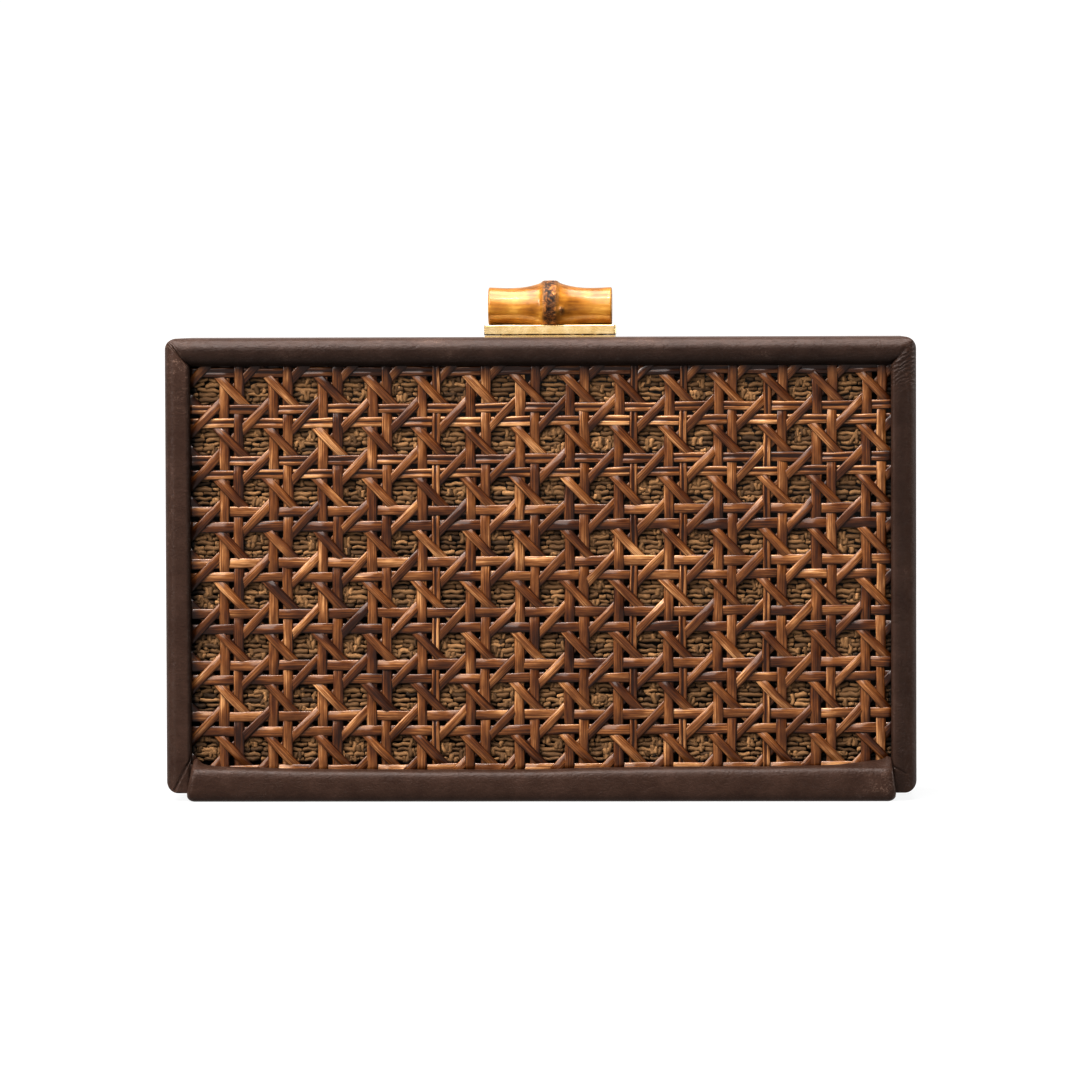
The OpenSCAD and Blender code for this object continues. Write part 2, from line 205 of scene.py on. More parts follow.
@dataclass(frozen=True)
class ChocolateLeather(Finish):
    """Drum-dyed calf leather with a fine pebbled grain and a satin finish.

    The eye sees a dark brown with a greyish sheen on the bends, tiny pebbles, and wrinkles where it turns a corner.
    """

    name: ClassVar[str] = "chocolate_calf_leather_satin"
    pebble_mm: float = 0.55
    mottle_mm: float = 7.0
    wrinkle_mm: float = 1.0
    roughness: float = 0.35

    def sockets(self, node: Adder) -> dict[str, Any]:
        """Adds the nodes for mottled dye, grain, creases, wrinkles and painted shade."""
        place = node("TexCoord").outputs["Object"]
        mottle = node("TexNoise", {"Vector": place, "Scale": per_mm(self.mottle_mm), "Detail": 5.0, "Roughness": 0.6})
        # Grain: small cells over level squiggles, as hide has where it is pulled round a rail
        cells = node("TexVoronoi", {"Vector": place, "Scale": per_mm(self.pebble_mm)}, feature="SMOOTH_F1")
        level = node("Mapping", {"Vector": place, "Scale": per_mm(2.0, 1.3, 1.1)})
        squiggle = node("TexNoise", {"Vector": level, "Scale": 1.0, "Detail": 3.0, "Distortion": 1.4})
        height = node("Math", {0: cells, 1: -0.5, 2: squiggle}, operation="MULTIPLY_ADD")
        grain = node("Bump", {"Strength": 0.5, "Distance": 0.2 * MM, "Height": height})
        # Fine light lines where the leather was pulled: the squiggles' middle level, in patches
        crease = node("Attribute", attribute_name="crease").outputs["Fac"]
        pulled = node("TexNoise", {"Vector": place, "Scale": per_mm(2.2), "Detail": 2.0})
        aside = node("Math", {0: squiggle, 1: 0.5, 2: 0.025}, operation="COMPARE")
        patch = node("MapRange", {"Value": pulled, "From Min": 0.2, "From Max": 0.6})
        lines = node("Math", {0: aside, 1: patch}, operation="MULTIPLY")
        fold = node("Math", {0: lines, 1: crease}, operation="MULTIPLY")
        creases = node("Bump", {"Strength": 0.7, "Distance": 0.14 * MM, "Height": fold, "Normal": grain})
        worn = node("Math", {0: height, 1: 0.3, 2: mottle}, operation="MULTIPLY_ADD")
        rubbed = node("Math", {0: fold, 1: 0.3, 2: worn}, operation="MULTIPLY_ADD")
        tint = node("ValToRGB", {"Fac": rubbed},
                    stops=[(0.32, "#2e1e17"), (0.56, "#35251d"), (0.8, "#3d2c24"), (1.0, "#5e4c42")])
        # Fan of slanting wrinkles: a sine across the slant, bent by noise
        fan = node("Attribute", attribute_name="fan").outputs["Fac"]
        slant = node("VectorMath", {0: place, 1: (-0.5, 0.0, 0.87)}, operation="DOT_PRODUCT").outputs["Value"]
        turns = node("Math", {0: slant, 1: TURN * per_mm(self.wrinkle_mm)}, operation="MULTIPLY")
        stray = node("TexNoise", {"Vector": place, "Scale": per_mm(1.8), "Detail": 2.0})
        phase = node("Math", {0: stray, 1: 11.0, 2: turns}, operation="MULTIPLY_ADD")
        wave = node("Math", {0: phase}, operation="SINE")
        ridge = node("Math", {0: wave, 1: fan}, operation="MULTIPLY")
        wrinkles = node("Bump", {"Strength": 0.6, "Distance": 0.1 * MM, "Height": ridge, "Normal": creases})
        # Painted shade: darker where the leather turns in towards the panel, down the top rail and along the right one
        shade = node("Attribute", attribute_name="shade").outputs["Fac"]
        shaded_tint = node("Mix", {"Factor": shade, 6: tint, 7: linear("#080403")}, data_type="RGBA").outputs[2]
        sheen = node("MapRange", {"Value": mottle, "To Min": self.roughness - 0.06, "To Max": self.roughness + 0.08})
        return {"Base Color": shaded_tint, "Roughness": sheen, "Normal": wrinkles, "Specular IOR Level": 0.17}


@dataclass(frozen=True)
class SmokedCane(Finish):
    """Split rattan peel, stained brown and thinly varnished.

    The eye sees fine lines along each strand, red and tan streaks, and a soft shine on its crown.
    """

    name: ClassVar[str] = "split_rattan_cane_varnished"
    line_mm: float = 0.22
    streak_mm: float = 14.0
    roughness: float = 0.36

    def sockets(self, node: Adder) -> dict[str, Any]:
        """Adds the nodes for lines and patches along each strand."""
        strand = node("UVMap", uv_map="strand")
        # The tone attribute holds each strand's own colour, plus painted shade towards the rails and painted light and
        # shade across its section
        tone = node("Attribute", attribute_name="tone").outputs["Fac"]
        lines = node("Mapping", {"Vector": strand, "Scale": (1 / self.streak_mm, 1 / self.line_mm, 1.0)})
        fine = node("TexNoise", {"Vector": lines, "Scale": 1.0, "Detail": 4.0, "Roughness": 0.65})
        patches = node("Mapping", {"Vector": strand, "Scale": (0.16, 0.7, 1.0)})
        patch = node("TexNoise", {"Vector": patches, "Scale": 1.0, "Detail": 3.0})
        streak = node("MapRange", {"Value": fine, "From Min": 0.3, "From Max": 0.7, "To Min": 0.05, "To Max": 0.5})
        streaky = node("Math", {0: streak, 1: tone}, operation="ADD")
        value = node("Math", {0: patch, 1: 0.66, 2: streaky}, operation="MULTIPLY_ADD")
        tint = node("ValToRGB", {"Fac": value}, stops=[
            (0.2, "#260f04"), (0.38, "#432209"), (0.52, "#573416"), (0.68, "#6d4827"), (0.9, "#a07c57")])
        relief = node("Bump", {"Strength": 0.6, "Distance": 0.06 * MM, "Height": fine})
        gloss = node("MapRange", {"Value": fine, "To Min": self.roughness - 0.1, "To Max": self.roughness + 0.14})
        return {"Base Color": tint, "Roughness": gloss, "Normal": relief, "Specular IOR Level": 0.14,
                "Coat Weight": 0.5, "Coat Roughness": 0.16}


@dataclass(frozen=True)
class DriedRaffia(Finish):
    """Twisted raffia, dyed olive brown and left matt.

    The eye sees dull fibrous strands with pale scuffed crests and dark gaps.
    """

    name: ClassVar[str] = "dyed_raffia_matt"
    fibre_mm: float = 0.12
    roughness: float = 0.72

    def sockets(self, node: Adder) -> dict[str, Any]:
        """Adds the nodes for fibres along each bit."""
        strand = node("UVMap", uv_map="strand")
        # The tone attribute holds each bit's own colour, plus painted shade under the cane strands, towards the rails
        # and on the dark ground
        tone = node("Attribute", attribute_name="tone").outputs["Fac"]
        fibres = node("Mapping", {"Vector": strand, "Scale": (0.6, 1 / self.fibre_mm, 1.0)})
        fine = node("TexNoise", {"Vector": fibres, "Scale": 1.0, "Detail": 3.0})
        value = node("Math", {0: fine, 1: 0.5, 2: tone}, operation="MULTIPLY_ADD")
        tint = node("ValToRGB", {"Fac": value},
                    stops=[(0.1, "#100803"), (0.42, "#503a24"), (0.66, "#705539"), (0.95, "#937250")])
        relief = node("Bump", {"Strength": 0.7, "Distance": 0.08 * MM, "Height": fine})
        return {"Base Color": tint, "Normal": relief, "Roughness": self.roughness, "Specular IOR Level": 0.25}


@dataclass(frozen=True)
class LacqueredBamboo(Finish):
    """Bamboo, heat-bent and coated with clear amber lacquer.

    The eye sees a glossy golden skin with long soft streaks, and a rough brown scar round the node.
    """

    name: ClassVar[str] = "amber_lacquered_bamboo"
    streak_mm: float = 0.7
    roughness: float = 0.3

    def sockets(self, node: Adder) -> dict[str, Any]:
        """Adds the nodes for the streaked skin with painted shade on top, and the bark of the scar, which also paints
        a contact shadow along the seat.
        """
        place = node("TexCoord").outputs["Object"]
        # The scar attribute also holds a painted contact shadow along the seat near both ends
        scar = node("Attribute", attribute_name="scar").outputs["Fac"]
        long_map = node("Mapping", {"Vector": place, "Scale": per_mm(9.0, self.streak_mm, self.streak_mm)})
        streak = node("TexNoise", {"Vector": long_map, "Scale": 1.0, "Detail": 4.0})
        cloud = node("TexNoise", {"Vector": place, "Scale": per_mm(5.0), "Detail": 3.0})
        value = node("Math", {0: streak, 1: 0.6, 2: cloud}, operation="MULTIPLY_ADD")
        # Painted shade: the skin darkens where it faces up
        painted_top_shade = node("Attribute", attribute_name="painted_top_shade").outputs["Fac"]
        top_shaded = node("Math", {0: painted_top_shade, 1: -0.24, 2: value}, operation="MULTIPLY_ADD")
        skin = node("ValToRGB", {"Fac": top_shaded}, stops=[
            (0.3, "#4d2f0a"), (0.5, "#684212"), (0.7, "#83591f"), (0.9, "#946c2d"), (1.0, "#a57f3f")])
        fleck = node("TexNoise", {"Vector": place, "Scale": per_mm(1.7), "Detail": 3.0, "Roughness": 0.6,
                                  "Distortion": 1.5})
        bark = node("ValToRGB", {"Fac": fleck},
                    stops=[(0.36, "#1a0d05"), (0.48, "#40260f"), (0.58, "#6e4620"), (0.7, "#966733")])
        colour = node("Mix", {"Factor": scar, 6: skin, 7: bark}, data_type="RGBA").outputs[2]
        rough = node("MapRange", {"Value": scar, "To Min": self.roughness, "To Max": 0.7})
        crust = node("Math", {0: fleck, 1: scar}, operation="MULTIPLY")
        lines = node("Bump", {"Strength": 0.35, "Distance": 0.08 * MM, "Height": streak})
        bump = node("Bump", {"Strength": 0.8, "Distance": 0.35 * MM, "Height": crust, "Normal": lines})
        gloss = node("MapRange", {"Value": scar, "To Min": 0.3, "To Max": 0.1})
        return {"Base Color": colour, "Roughness": rough, "Normal": bump, "Coat Normal": bump,
                "Specular IOR Level": 0.3, "Coat Weight": gloss, "Coat IOR": 1.35, "Coat Roughness": 0.04}


@dataclass(frozen=True)
class BrushedGold(Finish):
    """Brass, brushed along its length and plated with pale gold.

    The eye sees a warm pale metal with fine lines that stretch its highlights.
    """

    name: ClassVar[str] = "pale_gold_plate_brushed"
    colour: str = "#e3cb9f"
    line_mm: float = 0.09
    roughness: float = 0.2

    def sockets(self, node: Adder) -> dict[str, Any]:
        """Adds the nodes for brush lines, slight tarnish and the painted shadow along the rim."""
        place = node("TexCoord").outputs["Object"]
        along = node("Mapping", {"Vector": place, "Scale": per_mm(6.0, self.line_mm, self.line_mm)})
        lines = node("TexNoise", {"Vector": along, "Scale": 1.0, "Detail": 2.0})
        tarnish = node("TexNoise", {"Vector": place, "Scale": per_mm(4.0), "Detail": 4.0})
        tint = node("ValToRGB", {"Fac": tarnish}, stops=[(0.3, "#d9bb84"), (0.55, self.colour), (0.8, "#ecd6b0")])
        rough = node("MapRange", {"Value": lines, "To Min": self.roughness - 0.08, "To Max": self.roughness + 0.12})
        bump = node("Bump", {"Strength": 0.1, "Distance": 0.02 * MM, "Height": lines})
        # Painted shadow along the lever's rim, broken into spots
        rim_shadow = node("Attribute", attribute_name="rim_shadow").outputs["Fac"]
        edge = node("MapRange", {"Value": rim_shadow, "From Min": 0.3, "From Max": 0.9})
        spots = node("TexNoise", {"Vector": place, "Scale": per_mm(1.3), "Detail": 3.0})
        broken = node("MapRange", {"Value": spots, "From Min": 0.2, "From Max": 0.5})
        shadow_spots = node("Math", {0: edge, 1: broken}, operation="MULTIPLY")
        colour = node("Mix", {"Factor": shadow_spots, 6: tint, 7: linear("#3c2a14")}, data_type="RGBA").outputs[2]
        return {"Base Color": colour, "Roughness": rough, "Normal": bump, "Metallic": 1.0}


@dataclass(frozen=True)
class SuedeLining(Finish):
    """Pig suede, dyed tobacco and glued to the tray.

    The eye sees a soft short nap with cloudy light and dark strokes and no shine.
    """

    name: ClassVar[str] = "tobacco_suede_napped"
    nap_mm: float = 0.25
    roughness: float = 0.9

    def sockets(self, node: Adder) -> dict[str, Any]:
        """Adds the nodes for clouds and nap."""
        place = node("TexCoord").outputs["Object"]
        cloud = node("TexNoise", {"Vector": place, "Scale": per_mm(14.0), "Detail": 4.0})
        nap = node("TexNoise", {"Vector": place, "Scale": per_mm(self.nap_mm), "Detail": 2.0})
        value = node("Math", {0: nap, 1: 0.4, 2: cloud}, operation="MULTIPLY_ADD")
        tint = node("ValToRGB", {"Fac": value}, stops=[(0.4, "#4e3b27"), (0.7, "#624c33"), (0.95, "#745c40")])
        bump = node("Bump", {"Strength": 0.5, "Distance": 0.1 * MM, "Height": nap})
        return {"Base Color": tint, "Normal": bump, "Roughness": self.roughness, "Sheen Weight": 0.3}


@dataclass(frozen=True)
class BarePoplar(Finish):
    """Poplar, planed and left bare.

    The eye sees pale yellow wood with soft straight grain.
    """

    name: ClassVar[str] = "planed_poplar_bare"
    ring_mm: float = 1.6
    roughness: float = 0.6

    def sockets(self, node: Adder) -> dict[str, Any]:
        """Adds the nodes for the grain."""
        place = node("TexCoord").outputs["Object"]
        along = node("Mapping", {"Vector": place, "Scale": per_mm(40.0, self.ring_mm, self.ring_mm)})
        ring = node("TexNoise", {"Vector": along, "Scale": 1.0, "Detail": 4.0})
        tint = node("ValToRGB", {"Fac": ring}, stops=[(0.3, "#6e5430"), (0.55, "#8a6e46"), (0.8, "#9c835e")])
        bump = node("Bump", {"Strength": 0.3, "Distance": 0.05 * MM, "Height": ring})
        return {"Base Color": tint, "Normal": bump, "Roughness": self.roughness}


@dataclass(frozen=True)
class PaleFloor(Finish):
    """Matt seamless paper.

    The eye sees an even white with a faint shadow: the soft boxes light the floor round the bag, and it glows by
    itself further out.
    """

    name: ClassVar[str] = "pale_floor_matt"
    near_glow: float = 0.92

    def sockets(self, node: Adder) -> dict[str, Any]:
        """Adds the nodes for the glow that grows with the distance."""
        place = node("TexCoord").outputs["Object"]
        away = node("VectorMath", {0: place}, operation="LENGTH").outputs["Value"]
        glow = node("MapRange", {"Value": away, "From Min": 0.1, "From Max": 1.2, "To Min": self.near_glow,
                                 "To Max": 1.05})
        return {"Emission Strength": glow, "Base Color": linear("#3a3a3a"), "Roughness": 0.9,
                "Specular IOR Level": 0.0, "Emission Color": linear("#ffffff")}


@dataclass(frozen=True)
class Finishes:
    """The bag's materials, made once."""

    leather: bpy.types.Material
    cane: bpy.types.Material
    reed: bpy.types.Material
    bamboo: bpy.types.Material
    gold: bpy.types.Material
    lining: bpy.types.Material
    poplar: bpy.types.Material

    @classmethod
    def make(cls) -> "Finishes":
        """Builds every material."""
        kinds = (ChocolateLeather, SmokedCane, DriedRaffia, LacqueredBamboo, BrushedGold, SuedeLining, BarePoplar)
        return cls(*(kind().build() for kind in kinds))


def tube_faces(rings: int, ring: int, first: int = 0) -> list[list[int]]:
    """Faces of a capped tube.

    Args:
        rings: Count of rings.
        ring: Points in each ring.
        first: Index of the tube's first point.

    Returns:
        Quads between the rings, and the two caps.
    """
    here = np.arange(ring)
    after = np.roll(here, -1)
    start = np.arange(rings - 1)[:, None] * ring + first
    quads = np.stack([start + here, start + after, start + ring + after, start + ring + here], -1).reshape(-1, 4)
    caps = here + np.array([[first], [first + (rings - 1) * ring]])
    return quads.tolist() + caps.tolist()


def mesh_object(name: str, points: Array, faces: list[list[int]], material: bpy.types.Material,
                values: dict[str, Array], strand: Array | None = None) -> bpy.types.Object:
    """Makes a smooth mesh object from points in millimetres, with its normals turned outward.

    Args:
        name: Name of the object.
        points: Points in millimetres.
        faces: Point indices of each face.
        material: Material of the whole piece.
        values: Named numbers, one for each point.
        strand: Length and width coordinates in millimetres, one pair for each point.

    Returns:
        The new object, linked to the scene.
    """
    mesh = bpy.data.meshes.new(name)
    mesh.from_pydata((points * MM).tolist(), [], faces)
    for label, numbers in values.items():
        mesh.attributes.new(label, "FLOAT", "POINT").data.foreach_set("value", numbers.astype(np.float32))
    if strand is not None:
        corner = np.zeros(len(mesh.loops), np.int32)
        mesh.loops.foreach_get("vertex_index", corner)
        layer = mesh.uv_layers.new(name="strand")
        layer.data.foreach_set("uv", strand[corner].astype(np.float32).ravel())
    work = bmesh.new()
    work.from_mesh(mesh)
    bmesh.ops.recalc_face_normals(work, faces=work.faces)
    work.to_mesh(mesh)
    work.free()
    mesh.shade_smooth()
    mesh.materials.append(material)
    return link(bpy.data.objects.new(name, mesh))


def link(thing: bpy.types.Object) -> bpy.types.Object:
    """Links an object to the scene and returns it."""
    bpy.context.scene.collection.objects.link(thing)
    return thing


def tube_object(name: str, half: Half, points: Array, material: bpy.types.Material,
                values: dict[str, Array]) -> bpy.types.Object:
    """Makes a capped tube of one half.

    Args:
        name: Name of the object after the half's own.
        half: Half that the piece belongs to.
        points: Points for the front half, ring by ring.
        material: Material of the piece.
        values: Named numbers, one for each point or for all of them.

    Returns:
        The new object.
    """
    rings, ring = points.shape[:2]
    spread = {label: np.broadcast_to(numbers, (rings, ring)).ravel() for label, numbers in values.items()}
    return mesh_object(f"{half.value}_{name}", half.place(points.reshape(-1, 3)), tube_faces(rings, ring), material,
                       spread)


def settle(piece: bpy.types.Object, body: str, node: str | None = None) -> None:
    """Lets a piece ride on a body and stand for a CAD node, and reports it.

    Args:
        piece: The piece.
        body: Body that carries it.
        node: CAD node that it replaces, if any.
    """
    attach(piece, body)
    if node:
        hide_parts(node)
    LOG.info("%s: %d faces", piece.name, len(piece.data.polygons))


def bell(x: Array, width: float) -> Array:
    """Bell curve: 1 at 0, and 1/e at the width."""
    return np.exp(-(x / width) ** 2)


def decay(x: Array, reach: float) -> Array:
    """Falling curve: 1 up to 0, then 1/e at each reach further."""
    return np.exp(-np.maximum(x, 0) / reach)


def step(x: Array, start: float, width: float) -> Array:
    """Straight rise from 0 at the start to 1 at a width further."""
    return np.clip((x - start) / width, 0, 1)


def wobble(along: Array, rng: np.random.Generator, reach: float, wave: float) -> Array:
    """Smooth random curve: three sines of falling wavelength with random phases.

    Args:
        along: Distance along the strand in millimetres.
        rng: Source of the phases.
        reach: Largest value.
        wave: Longest wavelength in millimetres.

    Returns:
        One value for each distance.
    """
    phases = rng.uniform(0, TURN, 3)
    waves = wave / np.array([1.0, 1.9, 3.3])
    shares = np.array([0.55, 0.3, 0.15])
    return reach * (shares * np.sin(TURN * along[:, None] / waves + phases)).sum(1)


@dataclass
class BagSizes:
    """Sizes of the closed bag in millimetres, read from the frame."""

    half_w: float
    body_h: float
    half_d: float
    seam: float
    rail_lift: float
    side_rail: float
    top_rail: float
    leather_t: float
    frame_bottom: float
    frame_front: float
    cane_front: float
    cane_back: float
    panel_low: Array
    panel_high: Array
    mat_back: float
    crevice_reach: float = 0.7

    @classmethod
    def read(cls) -> "BagSizes":
        """Measures the CAD nodes of the front half."""
        left_low, left_high = node_box("front_left_leather")
        top_low, top_high = node_box("front_top_leather")
        frame_low, _ = node_box("front_frame")
        cane_low, cane_high = node_box("front_cane_panel")
        return cls(
            half_w=-left_low[0], body_h=top_high[2], half_d=-left_low[1], seam=-left_high[1],
            rail_lift=left_low[2], side_rail=left_high[0] - left_low[0], top_rail=top_high[2] - top_low[2],
            leather_t=frame_low[0] - left_low[0], frame_bottom=frame_low[2], frame_front=-frame_low[1],
            cane_front=-cane_low[1], cane_back=-cane_high[1], panel_low=cane_low, panel_high=cane_high,
            mat_back=-node_box("front_reed_mat")[1][1])

    def crevice(self, x: Array, z: Array) -> Array:
        """Closeness to the rails round the panel, which sets the painted shade there: falls off with the distance from
        the opening's edge.

        Args:
            x: Places across the panel.
            z: Heights.

        Returns:
            1 at the rails to 0 away from them.
        """
        aside = self.half_w - self.side_rail - np.abs(x)
        below = 0.9 * (self.body_h - self.top_rail - z)
        return decay(np.minimum(aside, below), self.crevice_reach)


@dataclass(frozen=True)
class Fold:
    """Crease across a rail's front, from one point to another in x and z."""

    start: tuple[float, float]
    end: tuple[float, float]
    depth: float
    width: float
    fade: float = 0.6

    def dip(self, x: Array, z: Array) -> Array:
        """Depth of the crease: a bell curve of the distance to the line, faded beyond its ends.

        Args:
            x: Places across the bag.
            z: Heights.

        Returns:
            Depth at each place in millimetres.
        """
        run = np.subtract(self.end, self.start)
        length = math.hypot(*run)
        ahead = ((x - self.start[0]) * run[0] + (z - self.start[1]) * run[1]) / length
        aside = ((x - self.start[0]) * run[1] - (z - self.start[1]) * run[0]) / length
        past = np.maximum(np.maximum(-ahead, ahead - length), 0)
        return self.depth * bell(aside, self.width) * bell(past, self.fade)


@dataclass
class LeatherRails:
    """Leather wrapped round the top, left and right rails of one tray."""

    sizes: BagSizes
    half: Half
    edge_r: float = 3.3
    inner_r: float = 1.1
    corner_r: float = 3.1
    crown: float = 0.12
    sway: float = 0.35
    end_zone: float = 9.0
    end_step: float = 0.16
    mid_step: float = 1.6

    def section(self, width: float) -> tuple[Array, Array, int]:
        """Closed loop of a rail's section.

        The outer skin runs from the seam forward, round two arcs over the front face and back to the panel. The
        inner arc is as wide as the outer one on the top rail, and tighter on the sides.
        The hidden side follows the wood.

        Args:
            width: Width of the rail seen from the front.

        Returns:
            Distance inward from the outer face, depth in front of the seam, and the count of skin points.
        """
        s = self.sizes
        r = min(self.edge_r, width / 2 - 0.05)
        q = r if width == s.top_rail else self.inner_r
        turn = np.linspace(0, math.pi / 2, 19)
        back = np.linspace(s.seam, s.half_d - r, 7)[:-1]
        face = np.linspace(r, width - q, 7)[1:-1]
        inward = np.concatenate([0 * back, r - r * np.cos(turn), face, width - q + q * np.sin(turn), [width]])
        depth = np.concatenate([back, s.half_d - r + r * np.sin(turn), 0 * face + s.half_d,
                                np.maximum(s.half_d - q + q * np.cos(turn), s.cane_front), [s.cane_front - 0.01]])
        skin = len(inward)
        hidden_in = np.array([width - s.leather_t, width - s.leather_t, s.leather_t, s.leather_t])
        hidden_depth = np.array([s.cane_front, s.frame_front, s.frame_front, s.seam])
        return np.append(inward, hidden_in), np.append(depth, hidden_depth), skin

    def spread(self, length: float) -> Array:
        """Stations from 0 to 1, close together near both ends, where the seams and creases are."""
        near = np.arange(0, self.end_zone, self.end_step)
        count = int((length - 2 * self.end_zone) / self.mid_step)
        middle = np.linspace(self.end_zone, length - self.end_zone, count)
        return (np.concatenate([near, middle, length - near[::-1]]) / length)[:, None]

    def round_corners(self, points: Array) -> Array:
        """Pulls points outside the corner arcs back onto them, seen from the front.

        Args:
            points: Points with x, y and z on the last axis.

        Returns:
            The rounded points.
        """
        s, r = self.sizes, self.corner_r
        out = points.copy()
        for level, upward in ((s.body_h - r, 1), (s.rail_lift + r, -1)):
            across = np.abs(out[..., 0]) - s.half_w + r
            up = upward * (out[..., 2] - level)
            reach = np.hypot(across, up)
            outside = (across > 0) & (up > 0) & (reach > r)
            pull = np.where(outside, r / np.maximum(reach, 1e-9), 1.0)
            arc_x = np.sign(out[..., 0]) * (s.half_w - r + across * pull)
            out[..., 0] = np.where(outside, arc_x, out[..., 0])
            out[..., 2] = np.where(outside, level + upward * up * pull, out[..., 2])
        return out

    def seam_dip(self, from_mitre: Array, crisp: Array) -> Array:
        """Depth of a mitre seam: a sharp groove with a thin second line on the left, a soft hollow on the right.

        Args:
            from_mitre: Distance to the mitre.
            crisp: True where the seam is the sharp one.

        Returns:
            Depth in millimetres.
        """
        sharp = 0.24 * bell(from_mitre, 0.28) + 0.14 * bell(from_mitre - 0.75, 0.16)
        return np.where(crisp, sharp, 0.16 * bell(from_mitre, 0.7))

    def build(self, rail: Rail, material: bpy.types.Material) -> bpy.types.Object:
        """Carries the section along one rail between its mitred ends.

        Each point runs straight along the rail, from one end's mitre to the other's, which sway in an S on the
        front. The front face is crowned, dips into each seam and takes the creases.

        Args:
            rail: Which rail to make.
            material: Leather.

        Returns:
            The rail's leather.
        """
        s = self.sizes
        top = rail is Rail.TOP
        width = s.top_rail if top else s.side_rail
        inward, depth, skin = self.section(width)
        on_skin = np.arange(len(inward)) < skin
        facing = step(depth, s.half_d - self.edge_r, self.edge_r) * on_skin
        sway = self.sway * np.sin(TURN * inward / width) * facing
        if top:
            reach = s.half_w - (inward + sway) * s.side_rail / s.top_rail
            along = (2 * self.spread(2 * s.half_w) - 1) * reach
            from_mitre = reach - np.abs(along)
            crisp = along < 0
        else:
            end = s.body_h - (inward - sway) * s.top_rail / s.side_rail
            along = s.rail_lift + self.spread(s.body_h - s.rail_lift) * (end - s.rail_lift)
            from_mitre = end - along
            crisp = np.full(along.shape, rail is Rail.LEFT)
        swell = self.crown * facing * (1 - ((inward - width / 2) / (width / 2)) ** 2)
        dip = self.seam_dip(from_mitre, crisp) * on_skin
        ahead = -(depth + swell) + 0 * along
        if top:
            points = np.stack([along, ahead, s.body_h - inward + 0 * along], -1)
            points[..., 2] -= np.where(facing > 0, 0, dip)
        else:
            points = np.stack([inward - s.half_w + 0 * along, ahead, along], -1)
            points[..., 0] += np.where(facing > 0, 0, dip)
            points = self.close_foot(points, skin)
        if rail is Rail.RIGHT:
            points = points * np.array([-1.0, 1.0, 1.0])
        fold = self.fold(rail).dip(points[..., 0], points[..., 2])
        points[..., 1] += (dip + fold) * np.clip(2 * facing, 0, 1)
        points = self.round_corners(points)
        below_top = s.body_h - points[..., 2]
        values = {"crease": (1 if rail is Rail.LEFT else 0.45) * (0.5 + 0.6 * bell(below_top, 30.0)),
                  "fan": (1 if rail is Rail.RIGHT else 0) * bell(below_top - 6.5, 5.5),
                  "shade": self.shade(rail, inward)}
        return tube_object(f"{rail.value}_leather_wrap", self.half, points, material, values)

    def shade(self, rail: Rail, inward: Array) -> Array:
        """How much painted shade darkens the leather.

        It has two steps down the top rail, a soft band along the right one, and a step at the inner edge of the
        left one.

        Args:
            rail: Which rail it is.
            inward: Distances from the rail's outer face.

        Returns:
            0 for no painted shade to 1 for the darkest.
        """
        if rail is Rail.TOP:
            return 0.36 * step(inward, 1.4, 1.6) + 0.4 * step(inward, 5.5, 1.2)
        if rail is Rail.RIGHT:
            return 0.38 * bell(inward - 3.7, 1.7)
        return 0.5 * step(inward, self.sizes.side_rail - 1.1, 1.1)

    def fold(self, rail: Rail) -> Fold:
        """Crease of a rail: beside the bottom roll on the sides, a faint one on the top."""
        inner, height = self.sizes.half_w - self.sizes.side_rail, self.sizes.body_h
        return {Rail.LEFT: Fold((-inner, 11.0), (-inner - 4.4, 2.7), 0.45, 0.2),
                Rail.RIGHT: Fold((inner + 1.0, 8.4), (inner + 3.3, 7.1), 0.3, 0.18),
                Rail.TOP: Fold((-30.0, height - 1.8), (-32.5, height - 4.2), 0.04, 0.5)}[rail]

    def close_foot(self, points: Array, skin: int) -> Array:
        """Moves the hidden side inward below the wooden wall, so that the leather closes under it.

        Args:
            points: Points of a side rail, ring by ring.
            skin: Count of skin points in each ring.

        Returns:
            The points with a closed foot.
        """
        s = self.sizes
        foot = points[:, 0, 2] < s.frame_bottom
        points[foot, skin:, 0] = -s.half_w + s.side_rail - 0.02
        points[foot, skin:skin + 2, 1] = -s.cane_front
        points[foot, skin + 2:, 1] = -s.seam
        return points

    def dress(self, finishes: Finishes) -> None:
        """Makes the three rails and lets them stand for their CAD nodes."""
        swapped = {Rail.TOP: Rail.TOP, Rail.LEFT: Rail.RIGHT, Rail.RIGHT: Rail.LEFT}
        for rail in Rail:
            piece = self.build(rail, finishes.leather)
            # The back half's nodes are named as seen from the front
            named = rail if self.half is Half.FRONT else swapped[rail]
            settle(piece, self.half.body, f"{self.half.value}_{named.value}_leather")


